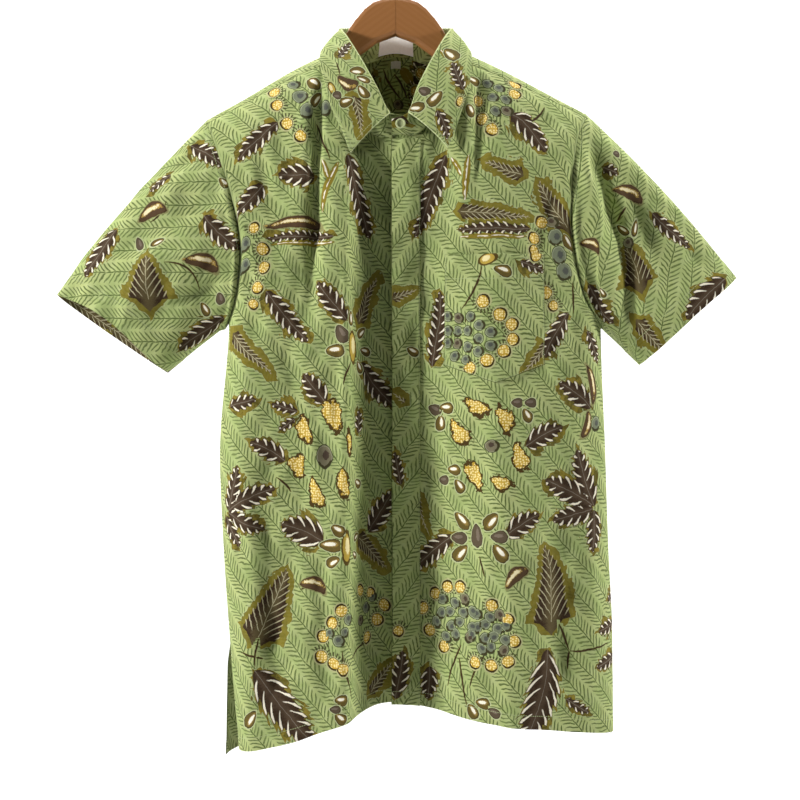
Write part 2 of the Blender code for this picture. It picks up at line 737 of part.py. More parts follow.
def build_shell():
    """The sewn shell: fronts, yoke, back, sleeves and collar stand, which share their seams."""
    under_stations = np.linspace(UNDER_NECK_END, RIGHT_YOKE_CORNER, COLUMNS_UNDER_NECK + 1)
    over_stations = np.concatenate([
        np.linspace(OVER_NECK_END, PLACKET_STATION, PLACKET_COLUMNS + 1),
        np.linspace(PLACKET_STATION, LEFT_YOKE_CORNER, COLUMNS_OVER_NECK - PLACKET_COLUMNS + 1)[1:],
    ])
    under_across = toward_end(np.linspace(0, 1, COLUMNS_UNDER_NECK + COLUMNS_SHOULDER + 1))
    placket_share = PLACKET_WIDTH / (side_edge("left", 900.0) - OVER_EDGE)
    rest = toward_end(np.linspace(0, 1, COLUMNS_OVER_NECK - PLACKET_COLUMNS + COLUMNS_SHOULDER + 1))
    over_across = np.concatenate([
        np.linspace(0, placket_share, PLACKET_COLUMNS + 1),
        placket_share + (1 - placket_share) * rest[1:],
    ])
    front_right = front_panel(under_stations, ARMHOLE_RIGHT, "right", UNDER_EDGE, "under", under_across)
    front_left = front_panel(over_stations, ARMHOLE_LEFT, "left", OVER_EDGE, "over", over_across)
    yoke = yoke_panel()
    back = back_panel()
    ring_right = armhole_ring(front_right, yoke, back, "right")
    ring_left = armhole_ring(front_left, yoke, back, "left")
    sleeve_right = sleeve_panel("sleeve_right", ring_right)
    sleeve_left = sleeve_panel("sleeve_left", ring_left)
    yoke_neck = yoke[COLUMNS_SHOULDER:COLUMNS_SHOULDER + COLUMNS_YOKE_NECK + 1, 0]
    yoke_stations = np.linspace(RIGHT_YOKE_CORNER, LEFT_YOKE_CORNER, COLUMNS_YOKE_NECK + 1)
    neck = np.concatenate([front_right[:COLUMNS_UNDER_NECK + 1, 0], yoke_neck[1:],
                           front_left[:COLUMNS_OVER_NECK, 0][::-1]])
    stations = np.concatenate([under_stations, yoke_stations[1:], over_stations[::-1][1:]])
    stand = stand_panel(neck, stations)

    panels = {
        "front_right": (front_right[::-1], False),
        "front_left": (front_left, False),
        "yoke": (yoke[:, ::-1], False),
        "back": (back[::-1], False),
        "sleeve_right": (sleeve_right[::-1], True),
        "sleeve_left": (sleeve_left, True),
        "collar_stand": (stand, False),
    }
    for name, (grid, closed) in panels.items():
        panels[name] = (outward(grid, closed, name), closed)
    normals = shared_normals(panels)
    return panels, normals


def outward(grid, closed, name):
    """Turns a grid round if its normals point into the shirt."""
    normal = face_normals(grid, closed)
    middle = grid.reshape(-1, 3).mean(axis=0)
    if closed:
        middle = grid.mean(axis=0)[None]
    elif name == "collar_stand":
        middle = np.array([NECK_CENTRE[0], NECK_CENTRE[1], 0.0]) * [1, 1, 0] + grid * [0, 0, 1]
    elif name == "yoke":
        middle = np.array([0.0, 0.0, -300.0])
    else:
        middle = grid * [1, 0, 1]
    facing = np.sum(normal * (grid - middle))
    return grid if facing > 0 else grid[::-1]


def build_shirt(materials):
    panels, normals = build_shell()
    seams = {
        "front_right": ("top", "first", "last"),
        "front_left": ("top", "first", "last"),
        "yoke": ("top", "foot", "first", "last"),
        "back": ("top", "first", "last"),
        "sleeve_right": ("top",),
        "sleeve_left": ("top",),
        "collar_stand": ("top",),
    }
    for name, (grid, closed) in panels.items():
        trimmed = pull_in(grid, closed, seams[name])
        wall(name, trimmed, normals[name], materials["cloth"], closed)
    leaf = leaf_panel()
    leaf = outward(leaf, False, "collar_stand")
    leaf_normals = shared_normals({"leaf": (leaf, False)})["leaf"]
    wall("collar_leaf", leaf, leaf_normals, materials["cloth"])
    left = panels["front_left"][0]
    left_normals = normals["front_left"]
    if left[0, 0, 0] > left[-1, 0, 0]:
        left = left[::-1]
        left_normals = left_normals[::-1]
    build_placket(left, left_normals, materials)
    build_pocket(left, materials)
    build_button(materials)
    build_labels(materials)


def build_placket(panel, normals, materials):
    """The strip over the left front's edge that hides the buttons, made from the front's points."""
    strip = panel[:PLACKET_COLUMNS + 1].copy()
    normal = normals[:PLACKET_COLUMNS + 1]
    strip[:, 0] += (strip[:, 1] - strip[:, 0]) * PLACKET_TOP_TRIM
    grid = laid_on(strip, normal, CLOTH + LAYER_GAP)
    wall("fly_placket", grid, normal, materials["cloth"])


def on_panel(panel, x, down):
    """The point of a faceted panel that is seen at (x, down) from the front."""
    best = None
    for i in range(len(panel) - 1):
        for j in range(panel.shape[1] - 1):
            a, b, c, d = panel[i, j], panel[i + 1, j], panel[i + 1, j + 1], panel[i, j + 1]
            for p, q, r in ((a, b, c), (a, c, d)):
                area = (q[0] - p[0]) * (r[2] - p[2]) - (q[2] - p[2]) * (r[0] - p[0])
                if abs(area) < 1e-9:
                    continue
                v = ((x - p[0]) * (r[2] - p[2]) - (-down - p[2]) * (r[0] - p[0])) / area
                w = ((q[0] - p[0]) * (-down - p[2]) - (q[2] - p[2]) * (x - p[0])) / area
                inside = min(v, w, 1 - v - w)
                if best is None or inside > best[0]:
                    best = (inside, p + v * (q - p) + w * (r - p))
    return best[1]


def build_pocket(panel, materials):
    """The patch pocket on the left chest, with its pointed foot, made from the front's points."""
    cells = np.linspace(0, 1, POCKET_CELLS + 1)
    x = POCKET_INNER_X + POCKET_WIDTH * cells
    foot = POCKET_TOP + POCKET_SIDE + POCKET_POINT * (1 - np.abs(2 * cells - 1))
    down = POCKET_TOP + (foot - POCKET_TOP)[:, None] * cells[None, :]
    flat = np.array([[on_panel(panel, x[i], down[i, j]) for j in range(len(cells))] for i in range(len(cells))])
    flat = outward(flat, False, "front_left")
    normal = shared_normals({"pocket": (flat, False)})["pocket"]
    grid = laid_on(flat, normal, CLOTH + POCKET_GAP)
    wall("chest_pocket", grid, normal, materials["cloth"])


def build_button(materials):
    """The collar button, a turned disc with a raised rim, on the stand's outer end."""
    profile = table(
        "radius  height",
        (0.0,    0.35),
        (0.62,   0.35),
        (0.74,   0.95),
        (0.90,   1.0),
        (1.0,    0.6),
        (0.94,   0.12),
        (0.80,   0.0),
        (0.0,    0.0),
    )
    mesh = bmesh.new()
    spokes = 20
    rings = []
    for radius, height in zip(profile["radius"], profile["height"]):
        ring = []
        for k in range(spokes if radius > 0 else 1):
            angle = 2 * math.pi * k / spokes
            ring.append(mesh.verts.new((
                BUTTON_RADIUS * radius * math.cos(angle) * MM,
                -BUTTON_THICKNESS * height * MM,
                BUTTON_RADIUS * radius * math.sin(angle) * MM,
            )))
        rings.append(ring)
    for ring, other in zip(rings, rings[1:]):
        for k in range(spokes):
            a = ring[k % len(ring)]
            b = ring[(k + 1) % len(ring)]
            c = other[(k + 1) % len(other)]
            d = other[k % len(other)]
            corners = list(dict.fromkeys((a, b, c, d)))
            mesh.faces.new(corners)
    bmesh.ops.recalc_face_normals(mesh, faces=mesh.faces[:])
    button = finish_mesh("collar_button", mesh, materials["button"])
    share = 0.55
    seam = neck_seam(20.45)
    fold = collar_line("fold", 20.45)
    seat = seam * (1 - share) + fold * share
    button.location = (BUTTON_X * MM, (seat[1] - BUTTON_SHANK) * MM, -BUTTON_DOWN * MM)


def build_labels(materials):
    """The bare neck label on the stand's inside and the bare size tab below it."""
    half = LABEL_WIDTH / 2
    seam_rows = COLLAR["seam_x"]
    middle = slice(9, 14)
    stations = through(seam_rows[middle], COLLAR["station"][middle], np.linspace(-half, half, 7))
    seam = neck_seam(stations)
    fold = collar_line("fold", stations)
    rise = np.array([LABEL_FOOT, LABEL_TOP])[None, :, None]
    grid = seam[:, None, :] * (1 - rise) + fold[:, None, :] * rise
    grid = outward(grid, False, "collar_stand")
    normal = shared_normals({"label": (grid, False)})["label"]
    label = laid_on(grid, normal, -(CLOTH + LABEL_GAP))
    wall("neck_label", label, normal, materials["label"], thickness=LABEL_THICKNESS)

    x = np.linspace(-TAB_WIDTH / 2, TAB_WIDTH / 2, 3)
    turn = np.array([49.0, 55.0])
    grid = cloth(x[:, None] + np.zeros((1, 2)), turn[None, :] + np.zeros((3, 1)))
    grid = outward(grid, False, "yoke")
    normal = shared_normals({"tab": (grid, False)})["tab"]
    tab = laid_on(grid, normal, -(CLOTH + TAB_GAP))
    wall("size_tab", tab, normal, materials["label"], thickness=LABEL_THICKNESS)


# ---------------------------------------------------------------- the hanger

def arm_outline(side):
    """The side outline of one arm, from the joint along the top and back along the foot."""
    crown_x = np.array([0, 14, 26, 36, 47, 54, 60, 65, 70, 77])
    crown = [(x, float(read(ARM_CROWN, "down", x))) for x in crown_x]
    top_x = np.linspace(88, ARM_TIP - 6, 7)
    seat = CLOTH + ARM_SEAT
    top = [(x, float(read(RIDGE, "down", side * x)) + seat) for x in top_x]
    tip = top[-1][1]
    nose = [(ARM_TIP, tip + 10), (ARM_TIP + 1, tip + 18), (ARM_TIP - 4, tip + 25)]
    foot_x = np.linspace(ARM_TIP - 22, 70, 6)
    foot = [(x, float(read(RIDGE, "down", side * x)) + seat + ARM_HEIGHT) for x in foot_x]
    inner = [(46, 134.0), (22, 116.0), (0, ARM_FOOT_CENTRE)]
    return crown + top + nose + foot + inner


def build_arm(name, side, materials):
    """One wooden arm, with half of the hook's hole at the joint."""
    mesh = bmesh.new()
    outline = arm_outline(side)
    verts = []
    for x, down in outline:
        joint = ARM_JOINT_GAP / 2 if x == 0 else 0.0
        verts.append(mesh.verts.new((side * (x + joint) * MM, -ARM_THICKNESS / 2 * MM, -down * MM)))
    face = mesh.faces.new(verts)
    extruded = bmesh.ops.extrude_face_region(mesh, geom=[face])
    moved = [item for item in extruded["geom"] if isinstance(item, bmesh.types.BMVert)]
    bmesh.ops.translate(mesh, verts=moved, vec=(0, ARM_THICKNESS * MM, 0))
    rims = [edge for edge in mesh.edges
            if abs(edge.verts[0].co.y - edge.verts[1].co.y) < 1e-7
            and abs(edge.verts[0].co.x + edge.verts[1].co.x) > ARM_JOINT_GAP * 2 * MM]
    bmesh.ops.bevel(mesh, geom=rims, offset=ARM_EDGE * MM, segments=2, profile=0.5, affect="EDGES")
    bmesh.ops.recalc_face_normals(mesh, faces=mesh.faces[:])
    arm = finish_mesh(name, mesh, materials["wood"])

    drill = bmesh.new()
    bmesh.ops.create_cone(drill, cap_ends=True, segments=20, radius1=HOOK_HOLE * MM, radius2=HOOK_HOLE * MM,
                          depth=HOOK_DEPTH * 2 * MM)
    bmesh.ops.translate(drill, verts=drill.verts[:], vec=(0, 0, -ARM_CROWN["down"][0] * MM))
    cutter = finish_mesh(name + "_drill", drill, materials["wood"])
    cutter.hide_render = True
    cutter.display_type = "WIRE"
    cut = arm.modifiers.new("hook hole", "BOOLEAN")
    cut.operation = "DIFFERENCE"
    cut.object = cutter
    return arm


def hook_route():
    """The middle of the wire: up the stem, a short bend and round the crown to the open tip."""
    centre = HOOK_WIRE - HOOK_RADIUS
    stem_foot = -(ARM_CROWN["down"][0] + HOOK_DEPTH - 0.4)
    points = [(0.0, stem_foot), (0.0, -72.0), (0.0, -60.0), (0.0, -54.0)]
    start = math.radians(-62)
    end = math.radians(205)
    first = (HOOK_RADIUS * math.cos(start), centre + HOOK_RADIUS * math.sin(start))
    bend = [(0.9, -49.0), (3.6, -44.6), (7.0, -41.6)]
    points += bend
    count = 26
    for k in range(count + 1):
        angle = start + (end - start) * k / count
        points.append((HOOK_RADIUS * math.cos(angle), centre + HOOK_RADIUS * math.sin(angle)))
    if first[0] < bend[-1][0]:
        raise ValueError("the hook's bend runs past the start of its crown")
    return points


def build_hook(materials):
    """The wire swept along its route, closed at both ends."""
    route = np.array(hook_route())
    mesh = bmesh.new()
    rings = []
    for i, (x, z) in enumerate(route):
        ahead = route[min(i + 1, len(route) - 1)] - route[max(i - 1, 0)]
        ahead = ahead / np.linalg.norm(ahead)
        side = np.array([-ahead[1], ahead[0]])
        ring = []
        for k in range(HOOK_SIDES):
            angle = 2 * math.pi * k / HOOK_SIDES
            reach = HOOK_WIRE * math.cos(angle)
            ring.append(mesh.verts.new((
                (x + side[0] * reach) * MM,
                HOOK_WIRE * math.sin(angle) * MM,
                (z + side[1] * reach) * MM,
            )))
        rings.append(ring)
    for ring, following in zip(rings, rings[1:]):
        for k in range(HOOK_SIDES):
            m = (k + 1) % HOOK_SIDES
            mesh.faces.new((ring[k], ring[m], following[m], following[k]))
    mesh.faces.new(rings[0][::-1])
    mesh.faces.new(rings[-1])
    bmesh.ops.recalc_face_normals(mesh, faces=mesh.faces[:])
    finish_mesh("hanger_hook", mesh, materials["steel"])


def build_hanger(materials):
    build_arm("hanger_arm_right", -1, materials)
    build_arm("hanger_arm_left", 1, materials)
    build_hook(materials)


def main():
    for item in list(bpy.data.objects):
        bpy.data.objects.remove(item, do_unlink=True)
    materials = {name: make_material(name) for name in COLOURS}
    build_shirt(materials)
    build_hanger(materials)


main()
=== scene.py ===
"""The look of the batik shirt on its hanger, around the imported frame.

Tables and sizes are in millimetres and degrees, as in the part: +X is the wearer's left, -Y is the
front, +Z is up, and "down" is the distance below the inside of the hook's crown.
"""
import math

import bpy
import numpy as np
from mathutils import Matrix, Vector


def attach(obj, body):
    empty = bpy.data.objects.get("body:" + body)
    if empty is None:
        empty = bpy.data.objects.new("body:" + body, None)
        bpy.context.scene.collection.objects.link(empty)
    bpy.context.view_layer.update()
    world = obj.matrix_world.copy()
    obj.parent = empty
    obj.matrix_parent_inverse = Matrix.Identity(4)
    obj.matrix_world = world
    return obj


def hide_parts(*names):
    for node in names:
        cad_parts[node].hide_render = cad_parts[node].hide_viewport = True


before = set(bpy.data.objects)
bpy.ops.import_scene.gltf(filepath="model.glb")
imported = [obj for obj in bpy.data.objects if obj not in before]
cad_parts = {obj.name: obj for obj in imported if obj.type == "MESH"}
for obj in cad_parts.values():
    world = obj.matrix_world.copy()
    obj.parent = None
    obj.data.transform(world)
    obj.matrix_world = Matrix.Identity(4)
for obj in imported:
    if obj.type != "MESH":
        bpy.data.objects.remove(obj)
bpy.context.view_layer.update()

MM = 0.001

# Shoulders, section and openings, as in the part
FRONT_ROLL = 120.0          # height of the front quarter of the shoulders' roll
BACK_ROLL = 100.0
SEAM_TURN = -18.0           # yoke's front seam at the armhole, in degrees from the ridge
SECTION_POWER = 2.6         # 2 is an ellipse, more is boxier
UNDER_EDGE = 22.0           # x of the right front's edge, which lies beneath
OVER_EDGE = -4.0            # x of the left front's edge, which lies on top
TROUGH = -16.0              # x where the right front reaches the bottom of the centre fold
PLACKET_WIDTH = 32.0
STITCHED = OVER_EDGE + PLACKET_WIDTH
VENT_TOP = 807.0
VENT_SPREAD = 4.0
POCKET_INNER_X = 56.0
POCKET_WIDTH = 110.0
POCKET_TOP = 366.0
POCKET_SIDE = 124.0
POCKET_POINT = 20.0
HEAD_LIFT = 6.0             # rounding of the sleeve's top line
CUFF_DEPTH = 30.0           # half the thickness of the open cuff
CUFF_BACK_DROP = 6.0
CUFF_FRONT = 80.0           # degrees round the cuff from its top, where it rides up the most
LEAF_GAP = 2.8              # from the stand's fold to the collar leaf's outside

# Cloth
BODY_CLOTH = 0.9            # thickness of one layer
THIN_CLOTH = 0.7
STAND_CLOTH = 1.0
LEAF_CLOTH = 1.3
TAPE = 0.5
BODY_HEM = 15.0
SLEEVE_HEM = 25.0
HEM_STEP = 0.45             # how far a hem's double cloth stands out
ALLOWANCE = 4.0             # how far a sleeve turns in under the armhole
SEAM_SINK = 2.6             # reach of the valley beside a seam
FAR = 50.0                  # stands for no stitch or edge near by
PAINTED_HIGHLIGHT_OFFSET = 100.0               # added to a distance from a line that gets a painted highlight, not painted shade
LEAF_MISS = 14.0            # how far off a panel a leaf's nearer end may be
ROUND_MISS = 7.0            # and a round motif's middle
HIDDEN = 400.0              # added to the miss of a point on the side that isn't seen
INK_REACH = 1.8             # the end of a motif's halo, as a share of its half sizes
INK_SEARCH = 9.0            # where the search for the nearest motif ends
FERN_PITCH = 25.5           # between the ground's spines
FERN_STEP = 5.8             # between its dashes, along a spine
FERN_ANGLE = 48.0           # the fronts' and the back's; the other pieces have their own
FERN_ANGLES = {"sleeve_right": 320.0, "sleeve_left": 142.0, "fly_placket": 128.0,
               "collar_leaf": 20.0, "collar_stand": 60.0, "yoke": 130.0}


def rows_of(text):
    """Rows of numbers, parted by commas or line ends."""
    rows = text.replace("\n", ",").split(",")
    return [tuple(map(float, row.split())) for row in rows if row.strip()]


def table(columns, text):
    """Rows of numbers under named columns; the first column is the key."""
    return dict(zip(columns.split(), np.array(rows_of(text)).T))


BODY = table("down right left front back", """
    90 -262 275 62 52
    300 -235 265 62 52
    360 -217 250 62 50
    400 -201 243 62 49
    441 -193 237 62 48
    590 -203 242 63 47
    690 -199 245 62 46
    807 -191 250 60 45
    950 -178 250 58 44""")
RIDGE = table("x down", """
    -275 255
    -240 222
    -219 206.5
    -175 182
    -115 147
    -77 128.5
    -40 110
    0 92
    40 110
    77 127
    120 147
    187 182
    222 200.5
    250 220
    285 255""")
# The deep soft fold at the centre front: where the right front starts to fall back, how far each
# front falls back, and where the left front is out again
CENTRE_FOLD = table("down crest under over swell", """
    150 -58 5 0 60
    236 -56 17 5 92
    290 -55 29 12 104
    360 -54 35 18 110
    430 -53 39 25 114
    530 -52 45 34 118
    640 -51 50 42 122
    760 -51 54 46 126
    950 -54 56 49 130""")
# The yoke's back seam, from the right armhole to the left
YOKE_BACK = table("across down", "0 262, 0.25 254, 0.5 251, 0.75 254, 1 262")
# x of the front and back edges of each armhole
ARMHOLE_RIGHT = table("down front back", """
    205 -220 -220
    237 -206 -211
    268 -195 -203
    298 -185 -196
    360 -174.5 -188
    394 -177.5 -188
    425 -184.5 -190
    441 -193 -193""")
ARMHOLE_LEFT = table("down front back", """
    199 222 222
    234 206 214
    286 198 206
    324 196 203
    351 199 204
    379 204 209
    402 210 214
    425 221 224
    441 237 237""")
FRONT_HEM = table("x down", """
    -200 932
    -178 929
    -120 914
    -50 888
    -16 880
    5 877
    40 881
    85 889
    170 897
    250 908""")
BACK_HEM = table("x down", "-197 940, -120 916, 0 886, 120 902, 250 915")
# Side edges of the back below the vents
BACK_VENT = table("down right left", "807 -191 250, 840 -195 250, 950 -197 250")
# The collar, from the end beneath, round the neck, to the end on top. The stand rises from the
# seam to the fold, and the leaf falls from the fold to its edge.
COLLAR = table("station seam_x seam_turn fold_x fold_y fold_down edge_x edge_y edge_down", """
    0 22 -97 22 -58.5 213 -30 -66 270
    1 3 -101 5 -59.5 212 -40 -66.5 262
    2 -16 -98 -6 -63.5 211 -49.5 -67 255.5
    3 -40 -83 -20 -60 184 -60 -66 230
    4 -60 -65 -40 -47 146 -72 -63.5 204
    5 -73 -44 -56 -27 117 -84 -52 169
    6 -77 -20 -63 -8 104 -92 -30 139
    7 -77.5 0 -64 6 100 -93 0 128
    8 -72 18 -59 22 95.5 -84 26 131
    9 -52 34 -42 36 91.5 -58 38 136
    10 -26 43 -22 41.5 89.5 -28 46 138
    11 0 46 1 43 89 1 48.5 138.5
    12 26 43 24 41.5 89.5 30 46 138
    13 52 34 44 36 91.5 60 38 136
    14 72 18 61 22 95.5 85 26 130
    15 77.5 0 65 6 100 93 0 127
    16 77 -20 64 -8 104 92 -30 138
    17 73 -44 57 -27 117 86 -52 168
    18 60 -65 42 -47 146 77 -64 202
    19 40 -83 24 -60 184 68 -66 227
    20 18 -98 14 -66.5 211 58 -67.5 250
    21 -4 -101 -4 -67.5 218.5 45 -66 262""")
# Stations along the collar
UNDER_NECK_END = 0.0
RIGHT_YOKE_CORNER = 5.5
LEFT_YOKE_CORNER = 16.5
OVER_NECK_END = 21.0
LEAF_START = 2.0
LEAF_END = 20.0
NECK_CENTRE = (1.0, -12.0)

# Corners of the open cuffs (x, down)
CUFFS = {
    "sleeve_right": {"top": (-391, 408), "foot": (-264, 496)},
    "sleeve_left": {"top": (393, 388), "foot": (283, 487)},
}
# How far the front of each cuff rides up, so that its inside shows
CUFF_RISE = {"sleeve_right": 12.5, "sleeve_left": 1.5}

# The largest folds of the sleeves: place along the sleeve and round it (0 top, 90 front), size
SLEEVE_FOLDS = {
    "sleeve_right": table("along round depth length_share width", "0.3 120 7 0.22 34"),
    "sleeve_left": table("along round depth length_share width", """
    0.22 112 13 0.16 58
    0.6 75 -5 0.25 40"""),
}

# Creases: from one end to the other, how far the middle bows aside, the height (negative for a
# trough), the half width, and a lean that makes one flank steeper
CREASE_COLUMNS = "x0 d0 x1 d1 bow height width lean"
CREASES_RIGHT = table(CREASE_COLUMNS, """
    -190 300 -188 985 0 9 46 0
    -57 330 -56 990 0 3.4 5 0.4
    -47 330 -46 990 0 -4 6 -0.3
    -106 300 -108 960 0 -7 42 0
    -80 130 -91 440 3 -11 6.5 0.5
    -64 254 -6 218 -3 -8 14 0
    -97 150 -112 380 -4 4.5 13 0
    -60 262 -74 420 4 4 12 0
    -150 250 -118 330 8 -3 11 0.3
    -186 395 -120 470 12 -4.5 12 0.2
    -190 430 -130 560 16 3.5 15 0
    -100 470 -84 700 -5 3.6 16 0
    -140 560 -128 900 7 -5 15 0.2
    -166 600 -160 905 -4 4.5 13 0
    -98 680 -92 905 5 5 18 0
    -64 600 -62 1010 0 5 12 0.5
    -26 600 -24 1010 0 -7 22 0
    -180 330 -150 420 -6 3 10 0""")
CREASES_LEFT = table(CREASE_COLUMNS, """
    112 140 128 985 0 8 46 0
    46 250 52 960 0 -6 30 0.1
    188 200 202 345 4 5 13 0.2
    82 150 72 345 -3 4 11 0
    94 130 86 300 0 -6 6 -0.4
    14 222 66 236 -4 -9 17 0
    98 160 104 290 4 -4 9 0.4
    190 290 152 372 8 -3.5 11 0.3
    214 415 140 480 -12 -4.5 12 0.2
    232 430 172 600 -16 4 15 0
    96 520 84 730 5 -3 14 0
    150 540 142 890 -6 4 18 0
    188 600 182 895 5 -4.5 15 0.2
    218 640 222 900 -3 4 12 0
    118 700 112 885 4 -3.6 13 0
    -2 433 22 429 2 1.6 4 0.8
    30 600 44 860 5 -3 10 0""")
CREASES_BACK = table(CREASE_COLUMNS, """
    -14 262 -30 640 8 -8.5 13 0.3
    20 262 34 560 -8 7.6 15 0
    -120 300 -96 690 -10 8.5 22 0
    -168 400 -110 520 14 -8.5 14 0.2
    186 410 120 540 -14 -9.3 15 0.2
    120 300 104 660 10 6.8 24 0
    -60 560 -66 900 6 -8.5 18 0
    66 600 72 900 -6 9.3 20 0
    150 640 158 905 5 -8.5 16 0
    -140 650 -146 915 -5 8.5 18 0
    12 680 6 880 4 6.8 20 0
    206 520 196 880 8 6.8 14 0""")
# The sleeves' creases, as seen from the front; the back of each has the other one's, mirrored
CREASES_SLEEVE_RIGHT = table(CREASE_COLUMNS, """
    -190 345 -352 425 0 11 50 0
    -196 300 -290 338 -6 -5 12 0.3
    -204 262 -300 300 -8 4 16 0
    -206 366 -300 392 6 4.5 16 0
    -200 404 -286 446 6 -5 13 0.3
    -252 330 -350 372 -6 -3 14 0
    -318 462 -300 400 3 3 8 0.2
    -214 236 -240 268 4 -3 9 0.2""")
CREASES_SLEEVE_LEFT = table(CREASE_COLUMNS, """
    200 232 246 452 -8 12 14 0.75
    221 236 269 458 -8 -15 11 0.1
    256 268 306 440 -6 -14 34 0
    304 300 352 400 -6 -4 12 0.2
    216 402 240 470 2 -7 7 0
    286 440 340 396 4 3.5 13 0""")
# Slow waves of the crumpled cloth
CRUMPLES = table("length angle phase height", """
    62 12 0.4 1.2
    47 -24 2.1 1.1
    83 64 4 1
    38 38 5.2 0.75
    29 -8 1.3 0.6
    55 -58 3.3 0.9
    24 21 0.9 0.4""")

# How finely the panels are divided
NECK_COLUMNS = 26
SHOULDER_COLUMNS = 52
YOKE_NECK_COLUMNS = 52
BACK_COLUMNS = 2 * SHOULDER_COLUMNS + YOKE_NECK_COLUMNS
ARMHOLE_ROWS = 84
BACK_ARMHOLE_ROWS = 62
SIDE_ROWS = 122
VENT_ROWS = 42
YOKE_ROWS = 62
SLEEVE_ROWS = 76
STAND_ROWS = 16
LEAF_COLUMNS = 150
LEAF_ROWS = 24

# The printed leaves and stems: style, base (x, down), tip (x, down), width and, where it isn't
# straight, bow, as seen from the front. Style 1 is a veined leaf, 2 one with a wide olive border,
# 3 a stem and 4 a gold stem with an olive edge.
LEAVES = {
    "front_right": """
        1 -132 218 -177 261 19 2, 1 -91 280 -131 278 24, 1 -149 288 -177 331 20 -3,
        3 -89 220 -73 261 2 -3, 4 -64 264 -82 320 9 2, 4 -82 261 -74 288 6, 1 -69 347 -145 348 13,
        4 -67 354 -140 355 6, 1 -53 256 -30 345 25 2, 1 -145 407 -98 464 20 2,
        1 -54 440 -87 397 22, 2 -41 440 -20 387 20, 1 -39 487 0 537 22 2, 3 -50 487 -58 512 2 2,
        2 -183 456 -136 502 20, 1 -78 532 -103 500 22, 1 -187 536 -156 528 16,
        1 -110 542 -139 533 12, 1 -113 550 -130 563 10, 1 -42 566 -41 540 12,
        1 -124 597 -163 576 20 2, 1 -189 654 -178 603 19 2, 1 -189 654 -135 628 22 -2,
        1 -189 656 -147 674 19 2, 1 -192 661 -176 694 16, 1 -81 687 -128 668 31 2,
        1 -31 680 -3 633 22 2, 2 -41 686 -8 725 25 -2, 2 -154 795 -122 717 45 3,
        3 -107 741 -87 725 2 3, 1 -158 833 -91 914 35 2, 3 -59 808 -49 864 2 3,
        3 -49 820 -27 804 2 -2, 2 -28 865 -2 829 18, 3 -154 797 -158 829 2 2,
        3 -117 632 -134 616 2 2, 3 -149 820 -174 814 2""",
    "front_left": """
        1 130 209 168 252 25 -3, 1 56 256 24 345 22 2, 4 81 257 77 307 8, 4 62 259 75 282 6,
        2 139 278 97 264 20, 2 73 319 154 327 20, 1 150 338 70 339 15, 4 72 347 148 346 6,
        1 194 431 167 482 20 2, 1 220 538 183 510 22 3, 3 199 397 201 431 2 1,
        1 41 491 50 406 18 2, 1 145 580 187 559 22 -2, 1 225 649 204 585 24 -2,
        1 224 649 167 618 27 2, 1 223 652 176 664 22, 1 225 654 222 701 20, 2 24 637 40 688 11 1,
        1 65 683 21 724 22 2, 1 122 680 160 656 22 -2, 3 94 704 99 726 2, 2 174 777 166 690 47 4,
        3 74 806 59 854 2 2, 3 72 820 80 873 2 -1, 3 102 811 83 853 2 3, 1 39 835 37 871 19,
        1 170 808 141 911 36 -6, 1 191 864 218 880 11, 3 183 780 195 810 2, 3 195 810 193 831 2,
        3 195 810 242 805 2 2, 1 249 750 226 760 15, 1 249 784 227 792 15, 1 249 821 227 832 15,
        1 217 451 229 487 13, 1 211 356 220 389 11 2, 2 192 336 159 283 30 -3,
        3 150 218 169 198 2 2""",
    "chest_pocket": """
        3 97 381 75 427 2 -4, 1 138 375 166 385 12, 2 168 468 142 499 18, 3 83 431 79 442 2""",
    "fly_placket": """
        2 -2 414 26 404 15, 1 33 321 21 346 13, 1 0 871 8 817 19 1, 2 10 531 -4 520 10,
        1 6 625 -1 588 11""",
    "collar_leaf": """
        2 -46 194 -35 240 16 2, 3 -66 150 -62 166 2, 1 76 184 64 150 15 2, 4 51 135 61 148 7,
        1 46 209 58 241 13 2, 1 -64 144 -52 125 10""",
    "sleeve_right": """
        1 -316 336 -351 390 21 3, 2 -277 415 -276 366 43 -2, 3 -258 374 -222 405 2 -11,
        1 -215 322 -174 359 21 3, 1 -195 435 -247 472 24 2, 1 -234 239 -194 265 19 -2,
        1 -257 272 -279 293 12, 3 -278 327 -258 305 2 3""",
    "sleeve_left": """
        2 276 399 260 351 41 2, 1 295 314 338 354 17 2, 1 375 391 330 437 25 2,
        2 277 443 309 477 22, 1 238 264 254 271 11, 3 263 308 252 323 2, 1 217 399 248 441 15""",
}

